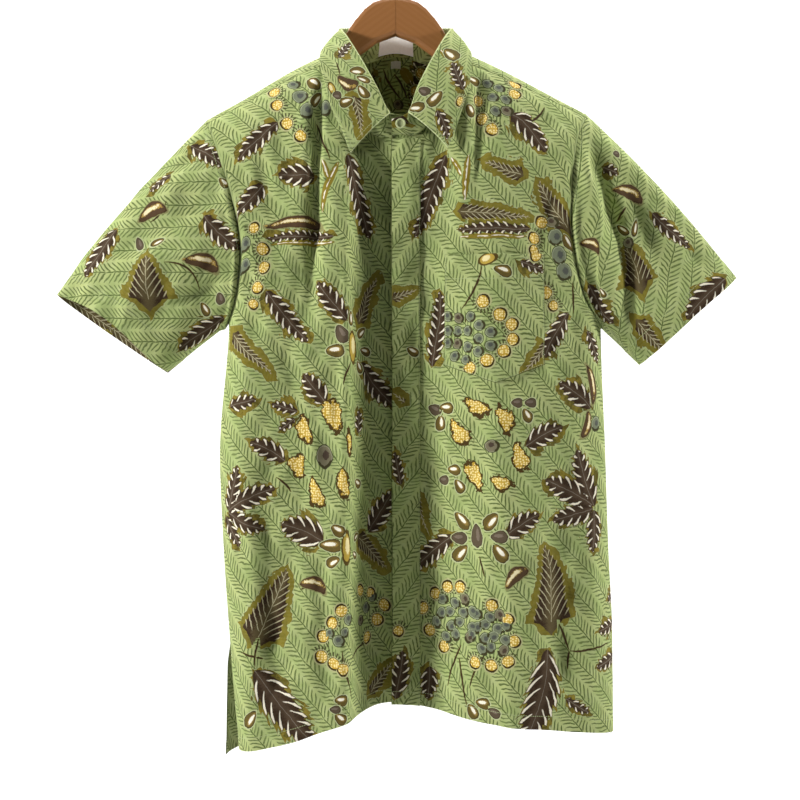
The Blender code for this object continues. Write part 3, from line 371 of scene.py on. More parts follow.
# The printed round motifs: style, middle (x, down), length and width where they aren't the usual
# ones, and turn of the long axis. Style 1 is a pale petal, 2 a grey-brown one, 3 a grey disc,
# 4 a brown one, 5 a gold berry, 6 a gold blossom, 7 a dark bean with a pale edge, 8 a gold bud.
USUAL_SIZE = {3: (14, 11), 4: (14, 11), 5: (15, 15)}
ROUNDS = {
    "front_right": """
        3 -115 173 14 12 0, 3 -107 189 19 17 30, 3 -99 206 19 15 80, 3 -79 203 19 13 80,
        1 -92 172 22 13 40, 1 -89 192 20 13 120, 5 -134 197 162, 5 -122 220 137, 5 -106 235 111,
        5 -138 180 190, 3 -169 355 16 13 90, 3 -169 378 16 13 80, 5 -148 360 348, 5 -147 381 28,
        5 -155 403 66, 5 -160 422 13 13 78, 5 -158 336 13 13 293, 8 -48 470 35 15 88,
        2 -60 455 22 16 60, 1 -67 474 22 15 0, 1 -39 453 17 10 130, 1 -35 474 17 10 20,
        1 -50 438 17 10 90, 1 -41 492 15 10 70, 6 -70 546 36 19 72, 6 -102 563 29 16 75,
        4 -79 592 25 17 85, 6 -110 603 26 17 80, 6 -51 577 25 9 88, 6 -58 623 30 14 80,
        6 -89 634 29 16 75, 7 -110 333 73 13 2, 1 -43 623 15 10 50, 1 -64 674 18 13 30,
        1 -72 691 27 15 0, 1 -70 709 18 13 150, 8 -54 693 35 12 88, 1 -45 683 13 8 120,
        1 -46 703 13 8 60, 7 -93 736 32 15 12, 1 -60 863 15 12 0, 2 -67 873 13 9 0,
        1 -61 883 15 12 40, 1 -164 889 25 13 120, 3 -63 797 14 12 0, 3 -52 774 14 12 30,
        3 -56 788 11 10 60, 3 -73 789 11 10 0, 3 -34 767 14 12 0, 4 -40 780 12 11 20,
        3 -27 756 12 11 0, 5 -60 763 232, 5 -71 777 201, 5 -81 793 165, 5 -83 816 127,
        5 -69 823 100, 5 -58 829 80, 5 -40 745 263, 5 -29 751 285, 5 -13 766 353, 5 -21 783 18,
        5 -33 802 46""",
    "front_left": """
        3 104 173 13 11 0, 3 117 178 13 11 0, 3 109 190 13 11 0, 3 124 192 13 11 0,
        3 112 207 13 11 20, 4 125 206 0, 5 92 194 172, 5 96 216 138, 5 107 228 106, 5 135 184 340,
        5 136 171 319, 1 87 170 20 13 20, 1 84 207 17 12 60, 3 179 347 18 16 90,
        3 183 367 20 17 90, 3 189 385 20 18 90, 4 175 330 0, 5 168 409 120, 5 163 330 213,
        5 154 348 187, 5 154 362 13 13 168, 5 176 424 13 13 109, 1 193 352 18 13 60,
        2 45 540 16 13 30, 1 58 538 18 13 0, 1 51 555 18 13 90, 6 91 537 28 15 25,
        6 72 567 32 17 50, 4 107 580 17 13 0, 6 122 551 29 16 70, 6 138 594 29 17 75,
        6 89 613 32 17 65, 6 117 621 24 14 20, 2 135 532 14 11 0, 2 150 532 14 11 0,
        1 146 546 17 12 60, 1 66 608 17 12 0, 2 55 620 14 11 0, 1 72 626 17 12 60,
        7 221 511 44 12 80, 7 215 557 31 12 105, 3 227 556 16 13 90, 2 91 681 27 16 88,
        2 72 685 20 14 0, 2 115 681 20 14 0, 1 75 665 24 15 50, 1 106 664 24 15 130,
        1 73 702 24 15 130, 1 116 699 24 15 50, 7 134 726 32 15 320, 1 98 869 18 13 0,
        2 110 878 16 11 30, 1 87 879 18 13 60, 3 54 756 0, 3 68 759 37, 4 78 754 74, 3 52 772 111,
        3 61 769 148, 3 77 769 5, 3 87 767 42, 3 47 783 79, 3 63 786 116, 3 72 780 153,
        3 87 784 10, 3 58 799 47, 3 68 795 84, 4 83 796 121, 3 91 769 0, 3 106 772 37,
        4 116 769 74, 3 91 784 111, 3 100 780 148, 3 115 784 5, 3 123 780 42, 3 85 793 79,
        3 100 796 116, 3 109 793 153, 3 123 796 10, 3 97 808 47, 3 106 805 84, 4 120 808 121,
        5 45 750 226, 5 59 741 253, 5 73 740 267, 5 31 768 192, 5 39 793 157, 5 55 810 131,
        5 108 758 298, 5 125 773 331, 5 132 797 15, 5 89 824 99, 5 107 826 82, 5 125 820 56""",
    "chest_pocket": """
        8 103 373 20 12 340, 1 119 386 20 13 20, 5 155 349 186, 5 155 368 161, 5 98 419 16 15 296,
        5 116 434 16 15 321, 5 129 445 16 15 340, 5 130 462 5, 5 120 475 16 15 22,
        5 102 485 16 15 52, 5 84 494 16 15 84, 3 60 435 12 11 0, 4 72 437 12 11 0,
        3 85 436 12 11 40, 3 94 446 12 11 0, 3 60 451 12 11 0, 3 71 452 12 11 90,
        3 82 452 12 11 0, 3 106 454 12 11 0, 3 93 461 12 11 120, 3 60 465 12 11 0,
        4 71 466 12 11 0, 3 82 470 12 11 60, 3 106 469 12 11 0, 3 93 475 12 11 0,
        3 68 480 12 11 0, 3 80 484 11 10 0""",
    "fly_placket": """
        1 19 474 15 10 30, 5 3 794 13 13 78""",
    "collar_leaf": """
        7 -54 175 27 18 25, 1 -43 162 18 13 0, 1 -36 187 18 12 60, 1 -55 199 20 12 160,
        8 -71 182 16 11 70, 1 -36 172 15 10 20, 2 -65 191 14 11 0, 1 63 140 27 17 40,
        1 44 195 22 15 130, 1 23 205 20 13 0, 2 32 186 16 11 30, 5 71 198 13 13 167,
        5 75 218 13 13 153""",
    "sleeve_right": """
        7 -276 317 36 17 335, 7 -217 375 41 17 15, 1 -267 352 18 8 155, 2 -289 353 16 9 70,
        1 -216 426 17 10 60, 2 -198 414 14 11 80, 1 -193 285 15 10 45""",
    "sleeve_left": """
        7 267 292 36 17 18, 1 259 333 17 8 40, 1 274 331 22 8 105, 4 265 348 11 12 0,
        7 218 355 26 14 15, 1 236 407 13 8 60, 2 250 250 9 8 0""",
}

# Motifs of the hidden sides; those behind the neck and in the cuff show through inside
INSIDE_LEAVES = {
    "collar_leaf": """
        1 -70 124 -34 139 14 2, 1 36 139 70 123 14, 2 -12 148 14 126 13""",
    "yoke": """
        3 -15 136 7 170 2 3, 3 -2 141 13 169 2 -2, 4 7 134 21 155 13, 2 -28 143 -35 169 13,
        3 -28 139 -11 178 2 2, 1 38 169 47 139 12""",
    # Painted shade: these dark leaves inside the right cuff are drawn as print and darken the
    # shaded inside of the sleeve
    "sleeve_right": """
        2 -384 410 -328 450 30, 2 -336 442 -288 482 28, 1 -296 474 -262 500 20""",
}
INSIDE_ROUNDS = "5 31 142 0, 5 25 162 0, 5 39 153 13 13 0, 4 3 176 11 11 0"


# ---------------------------------------------------------------- curves

def through(keys, values, x):
    """A smooth curve through (keys, values) that never overshoots them."""
    x = np.clip(np.asarray(x, float), keys[0], keys[-1])
    step = np.diff(keys)
    slope = np.diff(values) / step
    tangent = np.zeros(len(keys))
    tangent[0] = slope[0]
    tangent[-1] = slope[-1]
    for i in range(1, len(keys) - 1):
        if slope[i - 1] * slope[i] > 0:
            tangent[i] = 2 * slope[i - 1] * slope[i] / (slope[i - 1] + slope[i])
    i = np.clip(np.searchsorted(keys, x, side="right") - 1, 0, len(step) - 1)
    t = (x - keys[i]) / step[i]
    start = (1 + 2 * t) * (1 - t) ** 2 * values[i] + t * (1 - t) ** 2 * step[i] * tangent[i]
    end = t * t * (3 - 2 * t) * values[i + 1] - t * t * (1 - t) * step[i] * tangent[i + 1]
    return start + end


def read(rows, column, x):
    """A column of a table, read smoothly at key x."""
    key = next(iter(rows))
    return through(rows[key], rows[column], x)


def smooth(x, start, end):
    """0 before start, 1 after end, with a soft ramp between."""
    t = np.clip((np.asarray(x, float) - start) / (end - start), 0.0, 1.0)
    return t * t * (3 - 2 * t)


def hump(x, middle, reach):
    """1 at the middle, with a soft fall to 0 on both sides."""
    return np.exp(-((x - middle) / reach) ** 2)


def toward_end(u):
    """Spreads 0..1 so that columns crowd towards 1, where a side turns away."""
    return u + u * u * (1 - u)


def toward_both(u):
    """Spreads 0..1 so that columns crowd towards both ends."""
    return 0.5 * u + 0.5 * (0.5 - 0.5 * np.cos(math.pi * u))


def unit(vectors):
    return vectors / np.linalg.norm(vectors, axis=1)[:, None]


def points(x, y, down):
    return np.stack([x, y, -down], axis=-1)


def patch(top, foot, first, last, across, along):
    """Fills the space between four edge curves (a Coons patch)."""
    u = across[:, None, None]
    v = along[None, :, None]
    ruled_down = (1 - v) * top[:, None, :] + v * foot[:, None, :]
    ruled_across = (1 - u) * first[None, :, :] + u * last[None, :, :]
    corners = ((1 - u) * (1 - v) * top[0] + u * (1 - v) * top[-1]
               + (1 - u) * v * foot[0] + u * v * foot[-1])
    return ruled_down + ruled_across - corners


# ---------------------------------------------------------------- the shirt's form

def side_profile(x, down, wide=BODY):
    """1 at the middle of the body and 0 at its side edges."""
    right = read(wide, "right", down)
    left = read(wide, "left", down)
    t = np.clip(np.abs(x - (right + left) / 2) / ((left - right) / 2), 0.0, 1.0)
    return (1 - t ** SECTION_POWER) ** (1 / SECTION_POWER)


def turned_down(x, turn):
    """How far down the roll over the shoulder is at a turn; it runs on straight past 90 degrees."""
    angle = np.radians(np.abs(turn))
    share = np.where(angle < math.pi / 2, 1 - np.cos(angle), 1 + angle - math.pi / 2)
    return read(RIDGE, "down", x) + np.where(turn < 0, FRONT_ROLL, BACK_ROLL) * share


def shoulder_share(drop, height):
    """How much of the full depth the cloth has reached at a drop below the ridge."""
    share = np.clip(drop / height, 0.0, 1.0)
    return np.sqrt(1 - (1 - share) ** 2)


def creases(rows, x, down):
    """The sum of the soft troughs and ridges of a table at points (x, down)."""
    total = np.zeros(np.broadcast(x, down).shape)
    for x0, d0, x1, d1, bow, height, width, lean in zip(*rows.values()):
        length = math.hypot(x1 - x0, d1 - d0)
        ux, ud = (x1 - x0) / length, (d1 - d0) / length
        along = ((x - x0) * ux + (down - d0) * ud) / length
        aside = (x - x0) * -ud + (down - d0) * ux
        aside = aside - bow * 4 * along * (1 - along)
        fade = smooth(along, -0.12, 0.35) * (1 - smooth(along, 0.65, 1.12))
        t = aside / (width * (0.75 + 0.5 * np.clip(along, 0, 1)))
        total = total + height * fade * np.exp(-t * t) * (1 + lean * t)
    return total


def crumple(x, down):
    """The gentle unevenness of cloth that has been folded and hung: slow waves here and there."""
    total = 0.0
    for length, angle, phase, height in zip(*CRUMPLES.values()):
        angle = math.radians(angle)
        way = (x * math.cos(angle) + down * math.sin(angle)) / length * 2 * math.pi
        patchy = np.sin(x / (0.37 * length + 21) + phase * 3)
        patchy = patchy * np.cos(down / (0.51 * length + 17) + phase)
        wave = np.sin(way + phase + 0.7 * np.sin(way * 0.37 + phase))
        total = total + height * (0.6 + 0.6 * patchy) * wave
    return total


def cloth(x, turn):
    """The point at x, turned over the shoulder: -90 faces front, 0 is the ridge, 90 faces back."""
    x = np.asarray(x, float)
    turn = np.asarray(turn, float) + np.zeros_like(x)
    down = turned_down(x, turn)
    share = np.where(np.abs(turn) < 90, np.sin(np.radians(np.abs(turn))), 1.0)
    front = -read(BODY, "front", down) * share
    back = read(BODY, "back", down) * share
    return points(x, np.where(turn < 0, front, back) * side_profile(x, down), down)


def front_point(x, down, layer):
    """The front of the body, with the centre fold and the creases."""
    drop = down - read(RIDGE, "down", x)
    profile = shoulder_share(drop, FRONT_ROLL) * side_profile(x, down)
    y = -read(BODY, "front", down) * profile
    if layer == "under":
        crest = read(CENTRE_FOLD, "crest", down)
        way = np.clip((x - crest) / (TROUGH - crest), 0, 1)
        way = 1.09 * way * way / (way + 0.09)
        fall = 1 - (1 - way) ** 2.2
        rows = CREASES_RIGHT
    else:
        way = np.clip((x - STITCHED) / (read(CENTRE_FOLD, "swell", down) - STITCHED), 0, 1)
        way = 1.08 * way * way / (way + 0.08)
        fall = (1 - way) ** 1.2
        rows = CREASES_LEFT
    y = y + read(CENTRE_FOLD, layer, down) * fall
    calm = smooth(profile, 0.05, 0.7) * smooth(drop, 8, 55)
    y = y - calm * (creases(rows, x, down) + crumple(x, down))
    return points(x, y - VENT_SPREAD * smooth(down, VENT_TOP, VENT_TOP + 60), down)


def back_point(x, down):
    """The back of the body with its creases; below the vents it is wider than the front."""
    share = shoulder_share(down - read(RIDGE, "down", x), BACK_ROLL)
    spread = smooth(down, VENT_TOP, VENT_TOP + 60)
    profile = np.where(down < VENT_TOP, side_profile(x, down), side_profile(x, down, BACK_VENT))
    y = read(BODY, "back", down) * share * profile + VENT_SPREAD * spread
    calm = smooth(profile, 0.05, 0.7) * smooth(down, 250, 330)
    return points(x, y + calm * (creases(CREASES_BACK, x, down) + crumple(x + 500, down)), down)


def neck_seam(station):
    return cloth(read(COLLAR, "seam_x", station), read(COLLAR, "seam_turn", station))


def collar_line(prefix, station):
    return points(*(read(COLLAR, prefix + end, station) for end in ("_x", "_y", "_down")))


def armhole_end(armhole, face, turn):
    """Where the armhole crosses a line of constant turn over the shoulder."""
    turn = np.asarray(turn, float)
    x = np.full(turn.shape, armhole[face][0])
    for _ in range(6):
        x = read(armhole, face, turned_down(x, turn))
    return x


# ---------------------------------------------------------------- panels

def side_rows(start, armhole, armhole_rows, hem):
    """Places down a side edge: the armhole, the side seam and the vent."""
    underarm = armhole["down"][-1]
    return np.concatenate([
        np.linspace(start, underarm, armhole_rows + 1),
        np.linspace(underarm, VENT_TOP, SIDE_ROWS + 1)[1:],
        np.linspace(VENT_TOP, hem, VENT_ROWS + 1)[1:],
    ])


def front_panel(corner_station, neck_end, armhole, side, edge_x, layer):
    """A front, as columns from the centre edge to the side and rows from the neck to the hem."""
    neck = neck_seam(np.linspace(neck_end, corner_station, NECK_COLUMNS + 1))
    corner_turn = read(COLLAR, "seam_turn", corner_station)
    shoulder_turn = np.linspace(corner_turn, SEAM_TURN, SHOULDER_COLUMNS + 1)
    end_x = armhole_end(armhole, "front", [SEAM_TURN])[0]
    shoulder_x = np.linspace(neck[-1][0], end_x, SHOULDER_COLUMNS + 1)
    seam = np.concatenate([neck, cloth(shoulder_x, shoulder_turn)[1:]])
    top = seam[:, [0, 2]]
    hem = read(FRONT_HEM, "down", read(BODY, side, 930.0))
    down = side_rows(-top[-1][1], armhole, ARMHOLE_ROWS, hem)
    outer_x = np.where(down <= armhole["down"][-1], read(armhole, "front", down),
                       read(BODY, side, down))
    along = (down - down[0]) / (down[-1] - down[0])
    across = toward_end(np.linspace(0, 1, NECK_COLUMNS + SHOULDER_COLUMNS + 1))
    hem_x = edge_x + (outer_x[-1] - edge_x) * across
    foot = np.stack([hem_x, -read(FRONT_HEM, "down", hem_x)], axis=-1)
    last = np.stack([outer_x, -down], axis=-1)
    edge_down = -top[0][1] + (-foot[0][1] + top[0][1]) * along
    edge = edge_x + (top[0][0] - edge_x) * (1 - smooth(edge_down, 236, 300))
    first = np.stack([edge, -edge_down], axis=-1)
    flat = patch(top, foot, first, last, across, along)
    grid = front_point(flat[..., 0], -flat[..., 1], layer)
    grid[:, 0] = seam
    grid[:, 0, 1] = front_point(seam[:, 0], -seam[:, 2], layer)[:, 1]
    return grid


def yoke_back_seam(across):
    """x and turn of the yoke's back seam at shares of the way across."""
    down = read(YOKE_BACK, "down", across)
    right = read(ARMHOLE_RIGHT, "back", YOKE_BACK["down"][0])
    left = read(ARMHOLE_LEFT, "back", YOKE_BACK["down"][-1])
    x = right + (left - right) * across
    share = (down - read(RIDGE, "down", x)) / BACK_ROLL
    turn = np.where(share < 1, np.degrees(np.arccos(np.clip(1 - share, 0, 1))),
                    90 + np.degrees(share - 1))
    return x, turn


def back_panel():
    """The back, as columns from the right armhole to the left and rows from the yoke to the hem."""
    across = toward_both(np.linspace(0, 1, BACK_COLUMNS + 1))
    seam = cloth(*yoke_back_seam(across))
    edges = []
    for armhole, side, end in ((ARMHOLE_RIGHT, "right", 0), (ARMHOLE_LEFT, "left", -1)):
        hem = read(BACK_HEM, "down", BACK_VENT[side][-1])
        down = side_rows(-seam[end][2], armhole, BACK_ARMHOLE_ROWS, hem)
        x = np.where(down <= armhole["down"][-1], read(armhole, "back", down),
                     read(BODY, side, down))
        x = np.where(down > VENT_TOP, read(BACK_VENT, side, down), x)
        edges.append(np.stack([x, -down], axis=-1))
    first, last = edges
    along = (first[:, 1] - first[0, 1]) / (first[-1, 1] - first[0, 1])
    hem_x = first[-1, 0] + (last[-1, 0] - first[-1, 0]) * across
    foot = np.stack([hem_x, -read(BACK_HEM, "down", hem_x)], axis=-1)
    flat = patch(seam[:, [0, 2]], foot, first, last, across, along)
    grid = back_point(flat[..., 0], -flat[..., 1])
    grid[:, 0] = seam
    return grid


def yoke_panel():
    """The yoke, as columns from the right armhole to the left and rows from front to back."""
    stations = np.linspace(RIGHT_YOKE_CORNER, LEFT_YOKE_CORNER, YOKE_NECK_COLUMNS + 1)
    neck_x = read(COLLAR, "seam_x", stations)
    neck_turn = read(COLLAR, "seam_turn", stations)
    right_end, left_end = (armhole_end(armhole, "front", [SEAM_TURN])[0]
                           for armhole in (ARMHOLE_RIGHT, ARMHOLE_LEFT))

    def shoulders(right, neck, left):
        """Values along the yoke's front seam, from its ends in steps up to the neck's."""
        return np.concatenate([np.linspace(right, neck[0], SHOULDER_COLUMNS + 1), neck[1:],
                               np.linspace(neck[-1], left, SHOULDER_COLUMNS + 1)[1:]])

    top = np.stack([shoulders(right_end, neck_x, left_end),
                    shoulders(SEAM_TURN, neck_turn, SEAM_TURN)], axis=-1)
    across = toward_both(np.linspace(0, 1, len(top)))
    foot = np.stack(yoke_back_seam(across), axis=-1)
    edges = []
    for armhole, end in ((ARMHOLE_RIGHT, foot[0]), (ARMHOLE_LEFT, foot[-1])):
        turns = np.linspace(SEAM_TURN, end[1], YOKE_ROWS + 1)
        face_x = np.where(turns < 0, armhole_end(armhole, "front", turns),
                          armhole_end(armhole, "back", turns))
        face_x[-1] = end[0]
        edges.append(np.stack([face_x, turns], axis=-1))
    flat = patch(top, foot, *edges, across, np.linspace(0, 1, YOKE_ROWS + 1))
    return cloth(flat[..., 0], flat[..., 1])


def armhole_ring(front, yoke, back, end):
    """Seam points round an armhole from the underarm, up the front, over and down the back."""
    return np.concatenate([front[-1, :ARMHOLE_ROWS + 1][::-1], yoke[end, 1:],
                           back[end, 1:BACK_ARMHOLE_ROWS]])


def sleeve_panel(name, ring):
    """A sleeve, as columns round the armhole and rows from under the armhole to the open cuff."""
    cuff = CUFFS[name]
    top_index = int(np.argmax(ring[:, 2]))
    closed = np.vstack([ring, ring[:1]])
    length = np.concatenate([[0], np.cumsum(np.linalg.norm(np.diff(closed, axis=0), axis=1))])
    front_share = length[:-1] / length[top_index]
    back_share = (length[:-1] - length[top_index]) / (length[-1] - length[top_index])
    # round_at is 0 at the ridge, 90 at the front, 180 at the underarm and 270 at the back
    round_at = np.where(np.arange(len(ring)) <= top_index, 180 * (1 - front_share),
                        360 - 180 * back_share)
    angle = np.radians(round_at)
    fall = (1 - np.cos(angle)) / 2
    thick = np.sign(np.sin(angle)) * np.abs(np.sin(angle)) ** 0.75
    cuff_x = cuff["top"][0] + (cuff["foot"][0] - cuff["top"][0]) * fall
    cuff_down = cuff["top"][1] + (cuff["foot"][1] - cuff["top"][1]) * fall
    cuff_down = cuff_down + CUFF_BACK_DROP * np.clip(-thick, 0, 1)
    end = points(cuff_x, -CUFF_DEPTH * thick, cuff_down)
    end = end + unit(ring - end) * (CUFF_RISE[name] * hump(round_at, CUFF_FRONT, 44))[:, None]

    along = np.linspace(0, 1, SLEEVE_ROWS + 1)
    grid = ring[:, None] * (1 - along)[None, :, None] + end[:, None] * along[None, :, None]
    rounder = (np.clip(np.cos(angle), 0, 1) ** 2)[:, None]
    head = HEAD_LIFT * np.sin(math.pi * along)[None, :] * rounder
    grid[..., 0] += np.sign(cuff["top"][0]) * 0.75 * head
    grid[..., 2] += 0.66 * head
    for place, around, depth, share, width in zip(*SLEEVE_FOLDS[name].values()):
        near = hump(along, place, share) * np.sin(math.pi * along) ** 0.5
        grid[..., 1] += depth * hump(round_at, around, width)[:, None] * near[None, :]
    under = ALLOWANCE * (1 + smooth(-ring[:, 2], 330, 410))
    turned_in = grid[:, 0] + under[:, None] * unit(grid[:, 0] - grid[:, 1])
    return np.concatenate([turned_in[:, None], grid], axis=1), round_at


# ---------------------------------------------------------------- cloth coordinates and meshes

def grid_normals(grid, closed):
    """Unit normals at each point of a grid."""
    full = np.concatenate([grid, grid[:1]]) if closed else grid
    cross = np.cross(full[1:, 1:] - full[:-1, :-1], full[:-1, 1:] - full[1:, :-1])
    normals = np.zeros_like(full)
    for rows in (slice(None, -1), slice(1, None)):
        for columns in (slice(None, -1), slice(1, None)):
            normals[columns, rows] += cross
    if closed:
        normals[0] += normals[-1]
        normals = normals[:-1]
    return normals / np.maximum(np.linalg.norm(normals, axis=-1), 1e-9)[..., None]


def running(steps, axis, start):
    """Running total of steps along an axis, zero at index start."""
    shape = list(steps.shape)
    shape[axis] = 1
    total = np.concatenate([np.zeros(shape), np.cumsum(steps, axis=axis)], axis=axis)
    return total - np.take(total, [start], axis=axis)


def hung_uv(grid, start):
    """Cloth coordinates of a hanging panel: x and down, plus the cloth that its folds take up."""
    dx, dy = np.diff(grid[..., 0], axis=0), np.diff(grid[..., 1], axis=0)
    extra_u = running(np.sign(dx) * (np.hypot(dx, dy) - np.abs(dx)), 0, start)
    dz, dy = np.diff(grid[..., 2], axis=1), np.diff(grid[..., 1], axis=1)
    extra_v = running(np.hypot(dz, dy) - np.abs(dz), 1, grid.shape[1] // 2)
    return np.stack([grid[..., 0] + extra_u, -grid[..., 2] + extra_v], axis=-1)


def wrapped_uv(grid, start_column, start_row):
    """Cloth coordinates of a panel that goes round: lengths measured across and along it."""
    u = running(np.linalg.norm(np.diff(grid, axis=0), axis=-1), 0, start_column)
    v = running(np.linalg.norm(np.diff(grid, axis=1), axis=-1), 1, start_row)
    return np.stack([u, v], axis=-1)


def sleeve_uv(grid, ridge, hand):
    """Cloth coordinates of a sleeve: round it from the line along its top, and along it."""
    full = np.concatenate([grid, grid[:1]])
    axis = (grid[ridge, -1] - grid[ridge, 0]) * np.array([1.0, 0.0, 1.0])
    axis = axis / np.linalg.norm(axis)
    up = np.array([-axis[2], 0.0, axis[0]])
    up = up * np.sign(up[2])
    height = full @ up
    steps = np.hypot(np.diff(height, axis=0), np.diff(full[..., 1], axis=0))
    round_it = running(steps, 0, ridge) + height[ridge] - height[ridge, 0]
    return np.stack([hand * round_it, full @ axis - grid[ridge, 0] @ axis], axis=-1)


def edge_distance(grid, edge):
    """Distance of every point from one edge of a grid, measured along the cloth."""
    axis = 1 if edge in ("top", "foot") else 0
    length = np.linalg.norm(np.diff(grid, axis=axis), axis=-1)
    return np.abs(running(length, axis, 0 if edge in ("top", "first") else grid.shape[axis] - 1))


def nearest_edge(grid, edges):
    return np.min([edge_distance(grid, edge) for edge in edges], axis=0)


class Panel:
    """A piece of cloth: its grid of points, its outward normals and its cloth coordinates."""

    def __init__(self, grid, uv, away, thickness=THIN_CLOTH, closed=False):
        self.grid = grid
        self.closed = closed
        self.uv = uv
        normals = grid_normals(grid, closed)
        self.turned = np.sum(normals * away(grid)) < 0
        self.normals = -normals if self.turned else normals
        self.lift = np.zeros(grid.shape[:2])
        self.thickness = thickness
        self.sew = np.full((*uv.shape[:2], 3), FAR)
        self.inks = {"leaf": [], "dot": []}
        self.fern_angle = FERN_ANGLE
        self.shade = 0.0

    def quads(self):
        """Corner indices (column, row) of every quad; the last column of a tube wraps on."""
        columns, rows = self.grid.shape[:2]
        across = columns if self.closed else columns - 1
        i, j = np.meshgrid(np.arange(across), np.arange(rows - 1), indexing="ij")
        return np.stack([i, i + 1, i + 1, i], axis=-1), np.stack([j, j, j + 1, j + 1], axis=-1)

    def shell(self):
        """Points of both sides; per face, its points, its corners in the uv grid and its quad."""
        columns, rows = self.grid.shape[:2]
        count = columns * rows
        outer = self.grid + self.normals * self.lift[..., None]
        inner = outer - self.normals * self.thickness
        corner_i, corner_j = self.quads()
        point = ((corner_i % columns) * rows + corner_j).reshape(-1, 4)
        share = (corner_i * rows + corner_j).reshape(-1, 4)
        owner = np.arange(len(point))
        faces = [point, point[:, ::-1] + count]
        shares = [share, share[:, ::-1]]
        owners = [owner, owner]

        def rim(a, b, quad):
            """Walls between the two sides along an edge from points a to points b."""
            a_point, b_point = a % count, b % count
            faces.append(np.stack([b_point, a_point, a_point + count, b_point + count], axis=-1))
            shares.append(np.stack([b, a, a, b], axis=-1))
            owners.append(quad)

        across = corner_i.shape[0]
        down = rows - 1
        i = np.arange(across)
        j = np.arange(down)
        rim(i * rows, (i + 1) * rows, i * down)
        rim((i + 1) * rows + down, i * rows + down, i * down + down - 1)
        if not self.closed:
            rim(j + 1, j, j)
            rim((columns - 1) * rows + j, (columns - 1) * rows + j + 1, (across - 1) * down + j)
        faces, shares, owners = map(np.concatenate, (faces, shares, owners))
        if self.turned:
            faces, shares = faces[:, ::-1], shares[:, ::-1]
        both = np.concatenate([outer.reshape(-1, 3), inner.reshape(-1, 3)])
        return both, faces, shares, owners

    def build(self, name, material):
        both, faces, shares, owners = self.shell()
        data = bpy.data.meshes.new(name)
        data.vertices.add(len(both))
        data.vertices.foreach_set("co", (both * MM).astype(np.float32).ravel())
        data.loops.add(faces.size)
        data.loops.foreach_set("vertex_index", faces.astype(np.int32).ravel())
        data.polygons.add(len(faces))
        data.polygons.foreach_set("loop_start", np.arange(0, faces.size, 4, dtype=np.int32))
        data.update(calc_edges=True)
        data.validate()
        data.shade_smooth()
        data.set_sharp_from_angle(angle=math.radians(60))

        def corner_data(layer, values):
            attribute = data.attributes.new(layer, "FLOAT_VECTOR", "CORNER")
            flat = np.ascontiguousarray(values, dtype=np.float32).ravel()
            attribute.data.foreach_set("vector", flat)

        uv = self.uv.reshape(-1, 2)
        angle = math.radians(self.fern_angle)
        turn = np.array([[math.cos(angle), -math.sin(angle)], [math.sin(angle), math.cos(angle)]])
        corner = shares.ravel()
        third = np.full(faces.size, self.shade)
        corner_data("weft", np.column_stack([uv[corner], third]))
        corner_data("fern", np.column_stack([(uv @ turn)[corner], 0 * third]))
        corner_data("sew", self.sew.reshape(-1, 3)[corner])
        for layer, motifs in self.inks.items():
            place, size = self.ink(motifs, uv, shares, owners)
            corner_data(layer, place)
            corner_data(layer + "_size", size)
        return link_mesh(data, material)

    def ink(self, motifs, uv, shares, owners):
        """Each face's nearest motif, and its corners in that motif's own coordinates."""
        corner_i, corner_j = self.quads()
        rows = self.grid.shape[1]
        middle = uv[(corner_i * rows + corner_j).reshape(-1, 4)].mean(axis=1)
        best = np.full(len(middle), INK_SEARCH)
        which = np.zeros(len(middle), int)

        def own(place, u, v, cos, sin, length, bow):
            """Places along and across a motif that starts at (u, v), with its bow taken out."""
            x = (place[..., 0] - u) * cos + (place[..., 1] - v) * sin
            y = (place[..., 1] - v) * cos - (place[..., 0] - u) * sin
            share = np.clip(x / np.maximum(length, 1), 0, 1)
            return x, y - bow * 4 * share * (1 - share)

        for k, (u, v, cos, sin, length, width, _, bow, _) in enumerate(motifs):
            x, y = own(middle, u, v, cos, sin, length, bow)
            near = np.hypot((x - length / 2) / (length / 2 + 4), y / (width / 2 + 4))
            closer = near < best
            best = np.where(closer, near, best)
            which = np.where(closer, k, which)
        motifs = np.array(motifs) if motifs else np.zeros((1, 9))
        mine = motifs[which[owners]][:, None, :]
        u, v, cos, sin, length, width, style, bow, seed = np.moveaxis(mine, -1, 0)
        x, y = own(uv[shares], u, v, cos, sin, length, bow)
        style = np.where(best[owners][:, None] < INK_REACH, style, 0.0)
        corners = [np.broadcast_to(part, x.shape) for part in (x, y, style, length, width, seed)]
        place, size = np.stack(corners[:3], axis=-1), np.stack(corners[3:], axis=-1)
        return place.reshape(-1, 3), size.reshape(-1, 3)

    def locate(self, x, down, facing):
        """Cloth coordinates of the point seen at (x, down), and how far off the nearest one is."""
        grid = self.grid
        seen = np.stack([grid[..., 0], -grid[..., 2]], axis=-1)
        cost = np.hypot(seen[..., 0] - x, seen[..., 1] - down)
        cost = cost + np.where(self.normals[..., 1] * facing > -0.02, 0, HIDDEN)
        i, j = np.unravel_index(np.argmin(cost), cost.shape)
        i0, i1 = max(i - 1, 0), min(i + 1, grid.shape[0] - 1)
        j0, j1 = max(j - 1, 0), min(j + 1, grid.shape[1] - 1)
        step_seen = np.array([seen[i1, j] - seen[i0, j], seen[i, j1] - seen[i, j0]])
        step_uv = np.array([self.uv[i1, j] - self.uv[i0, j], self.uv[i, j1] - self.uv[i, j0]])
        if abs(np.linalg.det(step_seen)) < 0.3:
            return self.uv[i, j], cost[i, j]
        offset = np.array([x, down]) - seen[i, j]
        return self.uv[i, j] + offset @ np.linalg.inv(step_seen) @ step_uv, cost[i, j]


def link_mesh(data, material):
    piece = bpy.data.objects.new(data.name, data)
    bpy.context.scene.collection.objects.link(piece)
    data.materials.append(material)
    return piece


